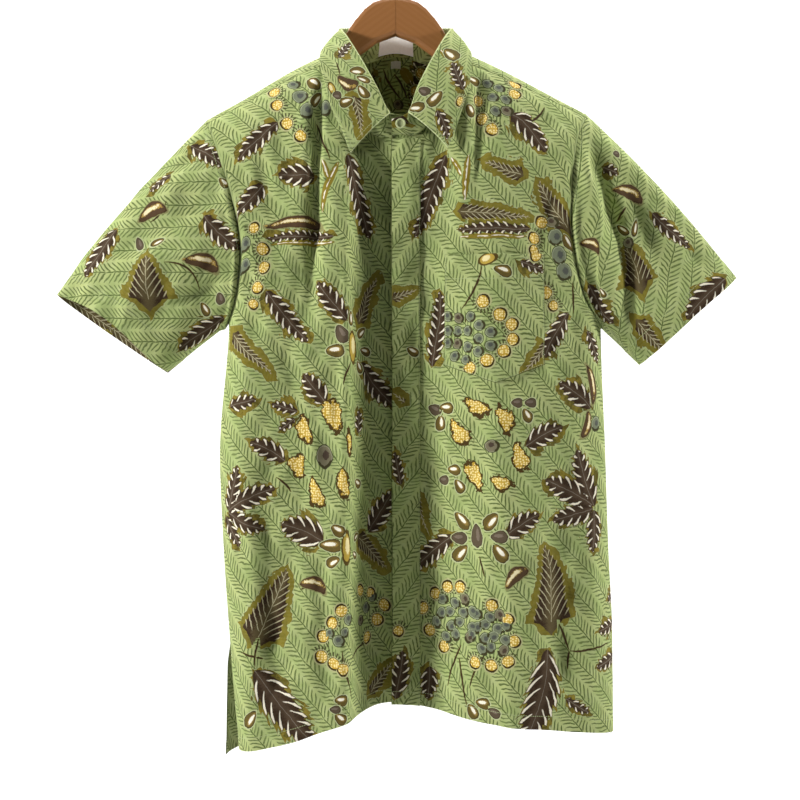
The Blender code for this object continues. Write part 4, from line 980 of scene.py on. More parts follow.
# ---------------------------------------------------------------- the shirt's pieces

def from_axis(grid):
    """Directions from the middle of the body."""
    return grid * np.array([0.0, 1.0, 0.0])


def from_neck(grid):
    return (grid - np.array([*NECK_CENTRE, 0.0])) * np.array([1.0, 1.0, 0.0])


def upward(grid):
    return np.array([0.0, 0.0, 1.0]) + 0 * grid


def from_bore(grid):
    """Directions from the middle line of a sleeve."""
    return grid - grid.mean(axis=0)[None]


def near_edges(panel, edges, reach):
    """1 at the named edges, fading to 0 at a distance from them."""
    return np.exp(-(nearest_edge(panel.grid, edges) / reach) ** 2)


def stitches_and_painted_edges(panel, lines, turned=None):
    """For the material: distance to the nearest sewn line, the way along it, and to a turned edge.

    Lines are pairs of an edge and the stitching's distance from it. Near a turned edge the material
    paints a dark line of shade; past the highlight offset it paints a pale highlight instead.
    """
    grid = np.concatenate([panel.grid, panel.grid[:1]]) if panel.closed else panel.grid
    best = np.full(grid.shape[:2], FAR)
    along = np.zeros(grid.shape[:2])
    for edge, inset in lines:
        distance = edge_distance(grid, edge) - inset
        way = panel.uv[..., 0] if edge in ("top", "foot") else panel.uv[..., 1]
        closer = np.abs(distance) < np.abs(best)
        best = np.where(closer, distance, best)
        along = np.where(closer, way, along)
    if turned is None:
        turned = np.full(grid.shape[:2], FAR)
    elif panel.closed:
        turned = np.concatenate([turned, turned[:1]])
    panel.sew = np.stack([best, along, turned], axis=-1)


def make_shell():
    """The fronts, the back, the yoke, the sleeves and the collar."""
    fronts = {
        "right": front_panel(RIGHT_YOKE_CORNER, UNDER_NECK_END, ARMHOLE_RIGHT, "right",
                             UNDER_EDGE, "under"),
        "left": front_panel(LEFT_YOKE_CORNER, OVER_NECK_END, ARMHOLE_LEFT, "left",
                            OVER_EDGE, "over"),
    }
    yoke = yoke_panel()
    back = back_panel()
    panels = {"front_" + side: Panel(grid, hung_uv(grid, 40), from_axis, BODY_CLOTH)
              for side, grid in fronts.items()}
    panels["back"] = Panel(back, hung_uv(back, BACK_COLUMNS // 2), from_axis, BODY_CLOTH)
    panels["yoke"] = Panel(yoke, wrapped_uv(yoke, len(yoke) // 2, YOKE_ROWS // 3), upward)
    for side, end, hand in (("right", 0, -1.0), ("left", -1, 1.0)):
        name = "sleeve_" + side
        grid, round_at = sleeve_panel(name, armhole_ring(fronts[side], yoke, back, end))
        ridge = int(np.argmin(np.minimum(round_at, 360 - round_at)))
        uv = sleeve_uv(grid, ridge, hand)
        panels[name] = Panel(grid, uv, from_bore, BODY_CLOTH, closed=True)

    yoke_neck = yoke[SHOULDER_COLUMNS:SHOULDER_COLUMNS + YOKE_NECK_COLUMNS + 1, 0]
    neck = np.concatenate([fronts["right"][:NECK_COLUMNS + 1, 0], yoke_neck[1:],
                           fronts["left"][:NECK_COLUMNS, 0][::-1]])
    stations = np.concatenate([
        np.linspace(UNDER_NECK_END, RIGHT_YOKE_CORNER, NECK_COLUMNS + 1),
        np.linspace(RIGHT_YOKE_CORNER, LEFT_YOKE_CORNER, YOKE_NECK_COLUMNS + 1)[1:],
        np.linspace(LEFT_YOKE_CORNER, OVER_NECK_END, NECK_COLUMNS + 1)[1:],
    ])
    rise = np.linspace(0, 1, STAND_ROWS + 1)[None, :, None]
    stand = neck[:, None, :] * (1 - rise) + collar_line("fold", stations)[:, None, :] * rise
    for name, grid, thick in (("collar_stand", stand, STAND_CLOTH),
                              ("collar_leaf", leaf_grid(), LEAF_CLOTH)):
        panels[name] = Panel(grid, wrapped_uv(grid, len(grid) // 2, 0), from_neck, thick)
    return panels


def leaf_grid():
    """The collar leaf, which rises inside the stand, rolls over its top and falls to its edge."""
    stations = LEAF_START + (LEAF_END - LEAF_START) * rimmed(1.0 * LEAF_COLUMNS, LEAF_COLUMNS)
    fold = collar_line("fold", stations)
    edge = collar_line("edge", stations)
    out = unit(fold[:, :2] - np.array(NECK_CENTRE))
    out = np.concatenate([out, np.zeros((len(out), 1))], axis=1)
    up = np.array([0.0, 0.0, 1.0])
    base = fold + out * LEAF_GAP + up * 0.2
    fall = toward_end(np.linspace(0, 1, LEAF_ROWS + 1))
    point = hump(stations, 3.2, 1.6) + hump(stations, 18.9, 1.6)
    beside = hump(stations, 7.0, 2.2) + hump(stations, 15.0, 2.2)
    edge[:, 0] -= np.sign(edge[:, 0]) * 6.0 * beside
    edge[:, 1] -= 3.0 * point
    lift = (1.5 + 3.0 * point)[:, None] * np.sin(math.pi * fall)[None, :] ** 0.8
    outside = base[:, None, :] * (1 - fall)[None, :, None] + edge[:, None, :] * fall[None, :, None]
    outside += (out * 0.8 + up * 0.5)[:, None, :] * lift[:, :, None]
    wave = 1.1 * np.sin(stations * 1.9 + 0.6) + 0.8 * np.sin(stations * 3.7)
    outside += (out * wave[:, None])[:, None, :] * (fall * (1 - 0.4 * fall))[None, :, None]
    # The roll over the stand's top, as steps outward and upward from the fold
    steps = rows_of("-1.9 -7, -1.9 -3, -1.8 0.4, -1 2.2, 0.5 3, 1.9 2.6")
    roll = np.stack([fold + out * a + up * b for a, b in steps], axis=1)
    return np.concatenate([roll, outside], axis=1)


def rimmed(length, count):
    """Shares 0..1 in even steps, with extra ones close to both ends."""
    even = np.linspace(0, 1, count + 1)
    near = np.array([0.35, 1.1, 2.4]) / length
    inner = even[(even > near[-1] * 1.3) & (even < 1 - near[-1] * 1.3)]
    return np.unique(np.concatenate([[0.0], near, inner, 1 - near, [1.0]]))


def rounding(panel, edges, height):
    """Lowers the outside next to the named edges, so that a folded edge is round."""
    distance = nearest_edge(panel.grid, edges)
    return -height * (1 - np.sqrt(1 - np.clip(1 - distance / 1.6, 0, 1) ** 2))


def make_placket(front):
    """The strip over the left front's edge, which hides the buttons; it follows the front."""
    down = -front.grid[0, :, 2]
    top = down[0] + 2.0
    middle = down[(down > top + 1.5) & (down < down[-1] - 1.0)]
    rows = np.concatenate([[top], middle, [down[-1] + 0.6]])
    share = rimmed(PLACKET_WIDTH, 12)
    first = np.interp(rows, down, front.grid[0, :, 0])
    widening = smooth(rows, 222, 262)
    wide = PLACKET_WIDTH * widening + (PLACKET_WIDTH - 14.5) * (1 - widening)
    wide = np.where(rows > 240, PLACKET_WIDTH, wide)
    stitched = np.minimum(STITCHED, first + wide + 12)
    x = first[None, :] - 0.5 + (stitched - first + 0.5)[None, :] * share[:, None]
    hem_bow = read(FRONT_HEM, "down", x) - read(FRONT_HEM, "down", first[-1])
    down_at = rows[None, :] + 0 * x + hem_bow * smooth(rows, 780, 876)[None, :]
    grid = front_point(x, down_at, "over")
    placket = Panel(grid, hung_uv(grid, 0), from_axis)
    placket.lift = 1.9 + rounding(placket, ("first", "last", "foot"), 0.7)
    # The distance to the outer fold gives the placket a painted shade line along that edge
    stitches_and_painted_edges(placket, [("last", 1.4), ("foot", BODY_HEM)], edge_distance(grid, "first"))
    return placket


def make_pocket():
    """The patch pocket on the left chest, with its pointed foot and a slightly open mouth."""
    across = rimmed(POCKET_WIDTH, 40)
    x = POCKET_INNER_X + POCKET_WIDTH * across
    foot = POCKET_TOP + POCKET_SIDE + POCKET_POINT * (1 - np.abs(2 * across - 1))
    share = rimmed(POCKET_SIDE, 46)
    down = POCKET_TOP + (foot - POCKET_TOP)[:, None] * share[None, :]
    down = down + (1.2 * np.sin(math.pi * across))[:, None] * (1 - share)[None, :]
    grid = front_point(x[:, None] + 0 * down, down, "over")
    pocket = Panel(grid, hung_uv(grid, 20), from_axis)
    mouth = np.sin(math.pi * across)[:, None] * np.exp(-((down - POCKET_TOP) / 22.0))
    sewn = ("first", "last", "foot")
    pocket.lift = 2.3 + 2.6 * mouth + rounding(pocket, (*sewn, "top"), 0.7)
    # The distance to the sewn edges gives the pocket a painted shade line round its sides and foot
    stitches_and_painted_edges(pocket, [*((edge, 1.6) for edge in sewn), ("top", 27)], nearest_edge(grid, sewn))
    return pocket


def make_labels():
    """The bare neck label on the stand's inside and the bare size tab below it."""
    behind = slice(9, 14)
    across = np.linspace(-21, 21, 29)
    stations = through(COLLAR["seam_x"][behind], COLLAR["station"][behind], across)
    rise = np.linspace(0.10, 0.85, 19)[None, :, None]
    fold = collar_line("fold", stations)
    grid = neck_seam(stations)[:, None, :] * (1 - rise) + fold[:, None, :] * rise
    label = Panel(grid, wrapped_uv(grid, 14, 0), from_neck, TAPE)
    label.lift -= 1.6

    x, turn = np.meshgrid(np.linspace(-6, 6, 11), np.linspace(49.0, 55.0, 12), indexing="ij")
    grid = cloth(x, turn)
    tab = Panel(grid, wrapped_uv(grid, 5, 0), upward, TAPE)
    tab.lift -= 2.2
    return label, tab


def sleeve_creases(sleeve, own, other, away):
    """How far a sleeve's creases lift it, on its front and on its back."""
    x, _, z = np.moveaxis(sleeve.grid, -1, 0)
    facing = sleeve.normals[..., 1]
    front = smooth(-facing, 0.05, 0.5) * creases(own, x, -z)
    back = smooth(facing, 0.05, 0.5) * creases(other, -x, -z)
    return (front + back) * smooth(away, 1, 16)


def sink(panel, depth):
    """Moves a panel towards the middle of the body, where it faces the front or the back."""
    facing = panel.normals[..., 1]
    panel.grid[..., 1] -= np.sign(facing) * smooth(np.abs(facing), 0.05, 0.3) * depth


def dress_body(panel, sides):
    """A front's or the back's seam valleys, hem and sewn lines."""
    panel.lift -= 0.9 * near_edges(panel, ("top",), SEAM_SINK)
    down = -panel.grid[..., 2]
    above_underarm = 1 - smooth(down, 436, 446)
    low = smooth(down, 270, 340) * above_underarm
    shallow = 0.7 * near_edges(panel, sides, SEAM_SINK) * above_underarm
    sink(panel, shallow + 2.0 * near_edges(panel, sides, 3.0) * low)
    depth = edge_distance(panel.grid, "foot")
    panel.lift += HEM_STEP * (1 - smooth(depth, BODY_HEM - 2, BODY_HEM + 1.5))
    # Painted shade: a dark line about 2.6 mm wide along the side edges below the vent tops, for the
    # shaded gap there
    vent = np.minimum(nearest_edge(panel.grid, sides) / 2.4, FAR)
    vent = np.where(-panel.grid[..., 2] > 798, vent, FAR)
    stitches_and_painted_edges(panel, [("foot", BODY_HEM), ("top", -2), *((side, 1.2) for side in sides)], vent)


def dress_sleeve(sleeve, own, other):
    """A sleeve's creases, armhole seam, hem and sewn lines."""
    low = smooth(-sleeve.grid[..., 2], 250, 330)
    away = edge_distance(sleeve.grid, "top")
    away = away - away[:, 1:2]
    sleeve.lift += sleeve_creases(sleeve, own, other, away)
    uneven = crumple(sleeve.uv[:-1, :, 0] + 200, sleeve.uv[:-1, :, 1])
    facing = smooth(np.abs(sleeve.normals[..., 1]), 0.3, 0.9)
    sleeve.lift += uneven * smooth(away, 2, 30) * facing
    sink(sleeve, (1.9 + 2.6 * low) * np.exp(-(np.maximum(away, 0) / 2.8) ** 2))
    sleeve.lift += 2.2 * hump(away, 7, 4.0) * low
    depth = edge_distance(sleeve.grid, "foot")
    sleeve.lift += HEM_STEP * (1 - smooth(depth, SLEEVE_HEM - 2, SLEEVE_HEM + 1.5))
    # Painted shade: a dark line along the armhole seam, wider lower down, standing in for the
    # seam's shadow
    seam = np.minimum(np.abs(away - 0.5) / (1 + 0.8 * low), FAR)
    stitches_and_painted_edges(sleeve, [("foot", SLEEVE_HEM), ("top", 5.5 + ALLOWANCE)], seam)


def dress_panels(panels):
    """Seam valleys, hems and sewn lines of the shell's pieces."""
    dress_body(panels["front_right"], ("last",))
    dress_body(panels["front_left"], ("last",))
    dress_body(panels["back"], ("first", "last"))
    yoke = panels["yoke"]
    yoke.lift -= 0.8 * near_edges(yoke, ("top", "foot", "first", "last"), SEAM_SINK)
    yoke.lift += 0.35 * near_edges(yoke, ("top", "foot"), 7.0)
    stitches_and_painted_edges(yoke, [("top", 5.5), ("foot", 5.5)])
    dress_sleeve(panels["sleeve_right"], CREASES_SLEEVE_RIGHT, CREASES_SLEEVE_LEFT)
    dress_sleeve(panels["sleeve_left"], CREASES_SLEEVE_LEFT, CREASES_SLEEVE_RIGHT)
    stitches_and_painted_edges(panels["collar_stand"], [("top", 1.6)])
    leaf = panels["collar_leaf"]
    edges = ("foot", "first", "last")
    leaf.lift += rounding(leaf, edges, 1.0)
    # Painted highlight: a pale line along the leaf's roll and its outer edges, where light catches
    # the folds
    roll_highlight = PAINTED_HIGHLIGHT_OFFSET + np.abs(edge_distance(leaf.grid, "top") - 11.3)
    painted_highlight = np.minimum(roll_highlight, PAINTED_HIGHLIGHT_OFFSET + nearest_edge(leaf.grid, edges) * 1.4)
    stitches_and_painted_edges(leaf, [(edge, 5.0) for edge in edges], painted_highlight)


# ---------------------------------------------------------------- the print's places

def leaf_rows(text):
    """Rows of leaves, with a bow of 0 where a row leaves it out."""
    return [(*row, 0.0)[:7] for row in rows_of(text)]


def round_rows(text):
    """Rows of round motifs, with the usual size where a row leaves it out."""
    return [row if len(row) == 6 else (*row[:3], *USUAL_SIZE[row[0]], row[3])
            for row in rows_of(text)]


def seeded(*numbers):
    """A fraction that depends on the numbers alone."""
    mixed = sum(n * k for n, k in zip(numbers, (12.9898, 78.233, 37.719)))
    return math.sin(mixed) * 43758.5453 % 1.0


def placed_leaf(panel, row, facing):
    """A leaf or stem in a panel's cloth coordinates, or nothing where the panel isn't there."""
    style, x0, down0, x1, down1, width, bow = row
    base, miss = panel.locate(x0, down0, facing)
    tip, miss_tip = panel.locate(x1, down1, facing)
    if min(miss, miss_tip) > LEAF_MISS:
        return None
    seen = math.hypot(x1 - x0, down1 - down0)
    length = min(max(np.linalg.norm(tip - base), 0.8 * seen), 1.5 * seen)
    angle = math.atan2(tip[1] - base[1], tip[0] - base[0])
    way = math.cos(angle), math.sin(angle)
    return (*base, *way, length, width, style, bow, seeded(x0, down0))


def placed_round(panel, row, facing):
    """A round motif in a panel's cloth coordinates, or nothing where the panel isn't there."""
    style, x, down, long, wide, turn = row
    middle, miss = panel.locate(x, down, facing)
    if miss > ROUND_MISS:
        return None
    cos, sin = math.cos(math.radians(turn)), math.sin(math.radians(turn))
    ahead = (panel.locate(x + 6 * cos, down + 6 * sin, facing)[0]
             - panel.locate(x - 6 * cos, down - 6 * sin, facing)[0])
    way = ahead / max(np.linalg.norm(ahead), 1e-6)
    start = middle[0] - way[0] * long / 2, middle[1] - way[1] * long / 2
    return (*start, *way, long, wide, style, 0.0, seeded(x, down))


def place(panel, layer, rows, facing=-1.0):
    """Prints motifs on a panel's front, or with facing 1 on its back."""
    placed = placed_leaf if layer == "leaf" else placed_round
    motifs = [placed(panel, row, facing) for row in rows]
    panel.inks[layer] += [motif for motif in motifs if motif]


def moved_rows(layer, rows, shift, drop, top, foot):
    """The same motifs moved across and down, going round from the foot to the top."""
    result = []
    for row in rows:
        row = list(row)
        change = top + (row[2] + drop - top) % (foot - top) - row[2]
        for k in (1, 3) if layer == "leaf" else (1,):
            row[k] += shift
            row[k + 1] += change
        result.append(tuple(row))
    return result


def print_cloth(panels):
    """Gives every panel its leaves, rounds and ground direction."""
    for name, panel in panels.items():
        panel.shade = seeded(len(name), ord(name[0]))
        panel.fern_angle = FERN_ANGLES.get(name, FERN_ANGLE)
    leaves = {name: leaf_rows(text) for name, text in LEAVES.items()}
    rounds = {name: round_rows(text) for name, text in ROUNDS.items()}
    for layer, rows in (("leaf", leaves), ("dot", rounds)):
        fronts = rows["front_right"] + rows["front_left"]
        rows["yoke"] = fronts
        for name, panel in panels.items():
            place(panel, layer, rows.get(name, []))
        place(panels["back"], layer, moved_rows(layer, fronts, 24, 70, 262.0, 905.0), 1.0)
        for name in ("sleeve_right", "sleeve_left"):
            ink = panels[name].inks[layer]
            ink += [(-u, v, -cos, sin, *rest) for u, v, cos, sin, *rest in ink]
        if layer == "leaf":
            for name, text in INSIDE_LEAVES.items():
                place(panels[name], layer, leaf_rows(text), 1.0)
        middle = [row for row in fronts if 440 < row[2] < 590]
        place(panels["yoke"], layer, moved_rows(layer, middle, -20, -300, 110, 600), 1.0)
    place(panels["yoke"], "dot", round_rows(INSIDE_ROUNDS), 1.0)
    panels["collar_stand"].inks["leaf"] = [
        (u + 60 * k, 2 + 12 * (k % 3), 0.8, 0.6 - k % 2, 34, 15, 1.0, 2.0, 0.13 * k)
        for k, u in enumerate((-190, -140, -90, -50, 0, 40))]


# ---------------------------------------------------------------- material graphs

class Value:
    """A number in a material's graph, with arithmetic."""

    def __init__(self, graph, out):
        self.graph = graph
        self.out = out

    def __add__(self, other):
        return self.graph.math("ADD", self, other)

    __radd__ = __add__

    def __sub__(self, other):
        return self.graph.math("SUBTRACT", self, other)

    def __rsub__(self, other):
        return self.graph.math("SUBTRACT", other, self)

    def __mul__(self, other):
        return self.graph.math("MULTIPLY", self, other)

    __rmul__ = __mul__

    def __truediv__(self, other):
        return self.graph.math("DIVIDE", self, other)

    def __neg__(self):
        return self.graph.math("MULTIPLY", self, -1.0)

    def __abs__(self):
        return self.graph.math("ABSOLUTE", self)


class Graph:
    """A material and short ways to put nodes in it."""

    def __init__(self, name):
        self.material = bpy.data.materials.new(name)
        self.material.use_nodes = True
        self.nodes = self.material.node_tree.nodes
        self.links = self.material.node_tree.links
        self.shader = self.nodes["Principled BSDF"]

    def put(self, socket, value):
        if isinstance(value, Value):
            self.links.new(value.out, socket)
        else:
            socket.default_value = value

    def surface(self, name, value):
        self.put(self.shader.inputs[name], value)

    def math(self, operation, *values):
        node = self.nodes.new("ShaderNodeMath")
        node.operation = operation
        for socket, value in zip(node.inputs, values):
            self.put(socket, value)
        return Value(self, node.outputs[0])

    def low(self, *values):
        return self.math("MINIMUM", *values)

    def high(self, *values):
        return self.math("MAXIMUM", *values)

    def fraction(self, value):
        return self.math("FRACT", value)

    def sine(self, value):
        return self.math("SINE", value)

    def step(self, value, start, end):
        """0 before start and 1 after end, or the other way where end comes first."""
        node = self.nodes.new("ShaderNodeMapRange")
        node.interpolation_type = "SMOOTHSTEP"
        numbers = not isinstance(start, Value) and not isinstance(end, Value)
        falling = numbers and end < start
        low, high = (end, start) if falling else (start, end)
        self.put(node.inputs["Value"], value)
        self.put(node.inputs["From Min"], low)
        self.put(node.inputs["From Max"], high)
        node.inputs["To Min"].default_value = 1.0 if falling else 0.0
        node.inputs["To Max"].default_value = 0.0 if falling else 1.0
        return Value(self, node.outputs["Result"])

    def mix(self, share, first, second):
        node = self.nodes.new("ShaderNodeMix")
        node.data_type = "RGBA"
        self.put(node.inputs["Factor"], share)
        self.put(node.inputs[6], first)
        self.put(node.inputs[7], second)
        return Value(self, node.outputs[2])

    def fields(self, name):
        """The three numbers of a corner attribute."""
        node = self.nodes.new("ShaderNodeAttribute")
        node.attribute_name = name
        return self.split(node.outputs["Vector"])

    def split(self, out):
        node = self.nodes.new("ShaderNodeSeparateXYZ")
        self.links.new(out, node.inputs[0])
        return [Value(self, part) for part in node.outputs]

    def object_place(self):
        return self.nodes.new("ShaderNodeTexCoord").outputs["Object"]

    def vector(self, x, y, z):
        node = self.nodes.new("ShaderNodeCombineXYZ")
        for socket, value in zip(node.inputs, (x, y, z)):
            self.put(socket, value)
        return Value(self, node.outputs[0])

    def noise(self, vector, scale, detail):
        node = self.nodes.new("ShaderNodeTexNoise")
        self.put(node.inputs["Vector"], vector)
        node.inputs["Scale"].default_value = scale
        node.inputs["Detail"].default_value = detail
        return Value(self, node.outputs[0])

    def cells(self, vector, scale):
        """Distance to the nearest point of a loose lattice, in cells."""
        node = self.nodes.new("ShaderNodeTexVoronoi")
        node.voronoi_dimensions = "2D"
        self.put(node.inputs["Vector"], vector)
        node.inputs["Scale"].default_value = scale
        node.inputs["Randomness"].default_value = 0.55
        return Value(self, node.outputs["Distance"])

    def by_style(self, style, colours):
        """The colour of each whole-numbered style; style 0 is no motif."""
        node = self.nodes.new("ShaderNodeValToRGB")
        ramp = node.color_ramp
        ramp.interpolation = "CONSTANT"
        colours = [(0, 0, 0), *rows_of(colours)]
        count = len(colours)
        while len(ramp.elements) < count:
            ramp.elements.new(0.99)
        for k, colour in enumerate(colours):
            ramp.elements[k].position = k / count
            ramp.elements[k].color = (*colour, 1)
        self.put(node.inputs[0], (style + 0.5) / float(count))
        return Value(self, node.outputs[0])

    def bump(self, height):
        node = self.nodes.new("ShaderNodeBump")
        node.inputs["Strength"].default_value = 1.0
        node.inputs["Distance"].default_value = MM
        self.put(node.inputs["Height"], height)
        self.links.new(node.outputs[0], self.shader.inputs["Normal"])


def srgb(*screen):
    """A colour as it looks on a screen, 0 to 255, as the linear one that nodes take."""
    shares = [part / 255 for part in screen]
    return (*(c / 12.92 if c <= 0.04045 else ((c + 0.055) / 1.055) ** 2.4 for c in shares), 1.0)


# Dye colours, and the colours of painted shade and painted highlight at edges
GROUND = (0.436, 0.490, 0.196, 1)
GROUND_PALE = (0.470, 0.525, 0.245, 1)
GROUND_DEEP = (0.350, 0.430, 0.158, 1)
DASH = (0.080, 0.116, 0.030, 1)
AUBERGINE = (0.042, 0.024, 0.012, 1)
GREY_BROWN = (0.090, 0.060, 0.036, 1)
OLIVE_BROWN = (0.150, 0.125, 0.045, 1)
CREAM = (0.86, 0.80, 0.64, 1)
STRAW = (0.50, 0.46, 0.22, 1)
OLIVE = (0.098, 0.076, 0.010, 1)
BRIGHT_OLIVE = (0.205, 0.170, 0.020, 1)
OCHRE = (0.235, 0.180, 0.022, 1)
TAN = (0.40, 0.27, 0.065, 1)
PALE_LINE = (0.50, 0.54, 0.29, 1)
PALE_GOLD = (0.92, 0.80, 0.38, 1)
INK = (0.052, 0.044, 0.018, 1)
FRINGE = (0.062, 0.060, 0.022, 1)
# Painted shade: the dark line along turned edges, armhole seams and vent gaps
PAINTED_SHADE_GREEN = (0.050, 0.058, 0.018, 1)
# Painted highlight: the pale line along the collar leaf's roll and edges
PAINTED_HIGHLIGHT_GREEN = (0.66, 0.70, 0.42, 1)
SEWING = (0.40, 0.46, 0.23, 1)

# Colours of the round motifs, by style from 1
OUTLINES = """0.5 0.54 0.29, 0.5 0.54 0.29, 0.06 0.07 0.03, 0.058 0.054 0.028, 0.46 0.46 0.22,
    0.07 0.042 0.012, 0.26 0.25 0.1, 0.1 0.065 0.016"""
RIMS = """0.06 0.042 0.014, 0.06 0.042 0.022, 0.36 0.4 0.24, 0.28 0.28 0.17, 0.046 0.03 0.01,
    0.07 0.042 0.012, 0.06 0.034 0.016, 0.09 0.058 0.014"""
FILLS = """0.13 0.092 0.024, 0.105 0.078 0.048, 0.18 0.205 0.128, 0.18 0.16 0.095, 0.55 0.35 0.042,
    0.55 0.35 0.042, 0.09 0.052 0.026, 0.46 0.32 0.055"""
MIDDLES = """0.9 0.87 0.72, 0.185 0.145 0.105, 0.088 0.094 0.078, 0.075 0.052 0.036, 0.64 0.42 0.07,
    0.6 0.39 0.06, 0.86 0.76 0.48, 0.8 0.7 0.36"""


def ground_colour(g, spot, wobble, fine, broad):
    """Rows of slanting dashes on both sides of fine spines."""
    p, q, _ = g.fields("fern")
    q = q + wobble * 3.0
    p = p + (broad - 0.5) * 14.0
    aside = abs(g.fraction(q / FERN_PITCH) - 0.5) * FERN_PITCH
    way = g.fraction((p + aside * 0.92 + wobble * 1.0) / FERN_STEP)
    taper = g.step(aside, FERN_PITCH * 0.49, FERN_PITCH * 0.35)
    taper = taper * (0.55 + 0.45 * g.step(aside, 0.2, 3.0))
    off = abs(way - 0.5) * (FERN_STEP * 0.73) + fine * 0.5
    dash = g.step(off, taper * 0.72 + 0.52, taper * 0.45)
    dash = dash * g.step(aside + wobble * 2.0, 0.8, 1.5)
    dash = dash * g.step(aside + wobble * 4.0, FERN_PITCH * 0.475, FERN_PITCH * 0.43)
    spine = g.step(aside + fine * 0.9, 1.05, 0.45) * g.step(wobble + fine, -0.36, -0.2)
    lines = g.high(dash * (0.80 + fine * 0.6 + (broad - 0.5) * 0.6), spine * 0.92)
    ground = g.mix(g.step(broad, 0.3, 0.7), GROUND_DEEP, GROUND)
    ground = g.mix(g.step(g.noise(spot, 0.11, 2.0), 0.40, 0.75) * 0.55, ground, GROUND_PALE)
    return g.mix(lines, ground, DASH)


def leaf_colour(g, colour, u, v, spot, wobble, fine):
    """Veined leaves in a rough halo, and stems."""
    x, y, style = g.fields("leaf")
    length, width, seed = g.fields("leaf_size")
    x = x + fine * 0.9
    y = y + wobble * 1.8
    t = g.low(g.high(x / length, 0.0), 1.0)
    beyond = g.high(g.high(-x, x - length), 0.0)
    side = g.math("SIGN", y)
    off = abs(y)
    inked = g.step(style, 0.4, 0.6)
    wide = g.step(style, 1.4, 1.6) * g.step(style, 2.6, 2.4)
    plain = g.step(style, 2.4, 2.6)
    stem = plain * g.step(style, 3.6, 3.4)
    veined = inked * (1.0 - plain)

    # Outline: a lobe beside each vein; wide leaves fan out from their base
    shape = g.math("POWER", g.low(t * (1.0 - t) * 4.0, 1.0), 0.60) * (1.14 - t * 0.28)
    fan = g.math("POWER", 1.0 - t, 0.55) * g.step(t, -0.05, 0.03) * 1.12
    shape = shape + (fan - shape) * wide
    vein_gap = width * 0.27 + 5.2 - wide * (width * 0.145 + 0.8)
    sweep = off * (0.42 + wide * 0.95) + off * off * 0.045 * (1.0 - wide)
    vein_way = g.fraction((x - sweep + wobble * 2.5) / vein_gap + side * 0.25 + seed)
    vein_off = abs(vein_way - 0.5)
    lobe = (0.25 - vein_off) * (3.4 + width * 0.20) * (1.0 - wide * 0.65) * veined
    lobe = lobe * g.step(t, 0.02, 0.15) * g.step(t, 1.0, 0.9)
    half = width * 0.5 * shape + lobe
    depth = off - half + beyond

    # Halo: olive, wider in patches and on one side, in a pale line
    border = wide * (2.8 + wobble * 4.0)
    one_sided = g.noise(g.vector(u, v, seed * 9.0), 0.055, 0.0)
    patch_noise = g.noise(g.vector(u, v, 11.0), 0.14, 1.0)
    reach = (1.3 + wide * 2.2 + g.high(side * (one_sided - 0.47), 0.0) * 30.0
             + g.high(patch_noise - 0.52, 0.0) * 16.0 + wobble * 3.0 * (1.0 - wide * 0.5))
    reach = g.low(reach, 8.5) * (1.0 - plain) + plain * 0.25
    halo = g.step(depth - reach, 0.5, -0.4) * inked
    pale_rim = g.step(abs(depth - reach - 0.7), 0.8, 0.2) * veined
    colour = g.mix(pale_rim * 0.55, colour, PALE_LINE)
    olive = g.mix(g.step(patch_noise + fine * 0.5, 0.36, 0.66), OLIVE, OCHRE)
    olive = g.mix(wide * 0.65, olive, BRIGHT_OLIVE)
    edge_dark = g.step(depth - reach + fine, -1.0, 0.1)
    olive = g.mix(edge_dark * 0.35, olive, AUBERGINE)
    colour = g.mix(halo * 0.94, colour, olive)

    # Body, with light sparks along the gold stems
    body = g.step(depth + border, 0.35, -0.35) * inked
    core = g.step(off / (half + 0.5) + fine * 0.6, 0.62, 0.08)
    dark = g.mix(core * 0.75 * veined, AUBERGINE, GREY_BROWN)
    dark = g.mix(g.step(g.noise(spot, 0.35, 2.0), 0.45, 0.75) * 0.35, dark, GREY_BROWN)
    dark = g.mix(wide * core * 0.45, dark, OLIVE_BROWN)
    dark = g.mix(g.step(style, 3.4, 3.6), dark, OCHRE)
    colour = g.mix(body, colour, dark)
    spark = g.step(off + wobble * 2.4, 0.95, 0.35) * body * plain * g.step(width, 4.2, 6.0)
    colour = g.mix(spark * (1.0 - stem) * g.step(patch_noise, 0.36, 0.48), colour, CREAM)

    # Veins, thicker towards the edge
    grow = off / (half + 0.6)
    vein_half = 0.16 + grow * grow * (0.80 + width * 0.052) * (1.0 - wide * 0.85) + wide * 0.22
    vein = g.step(vein_off * vein_gap * 0.78 + fine * 0.4 - vein_half, 0.42, 0.0)
    vein = vein * g.step(grow + wobble * 0.3 + wide * 0.2, 0.20, 0.34)
    vein = vein * g.step(depth + border * 0.5, -0.3, -1.0) * g.step(t, 0.03, 0.10)
    midrib = g.step(off + fine * 0.7, 0.60, 0.22) * g.step(t, 0.97, 0.85)
    midrib = midrib * g.step(beyond, 0.6, 0.1) * (wide * 0.75 + 0.12)
    strength = veined * g.step(wobble + fine * 0.6, -0.44, -0.24) * (1.0 - wide * 0.25)
    return g.mix(g.high(vein, midrib) * strength, colour, g.mix(wide * 0.7, CREAM, STRAW))


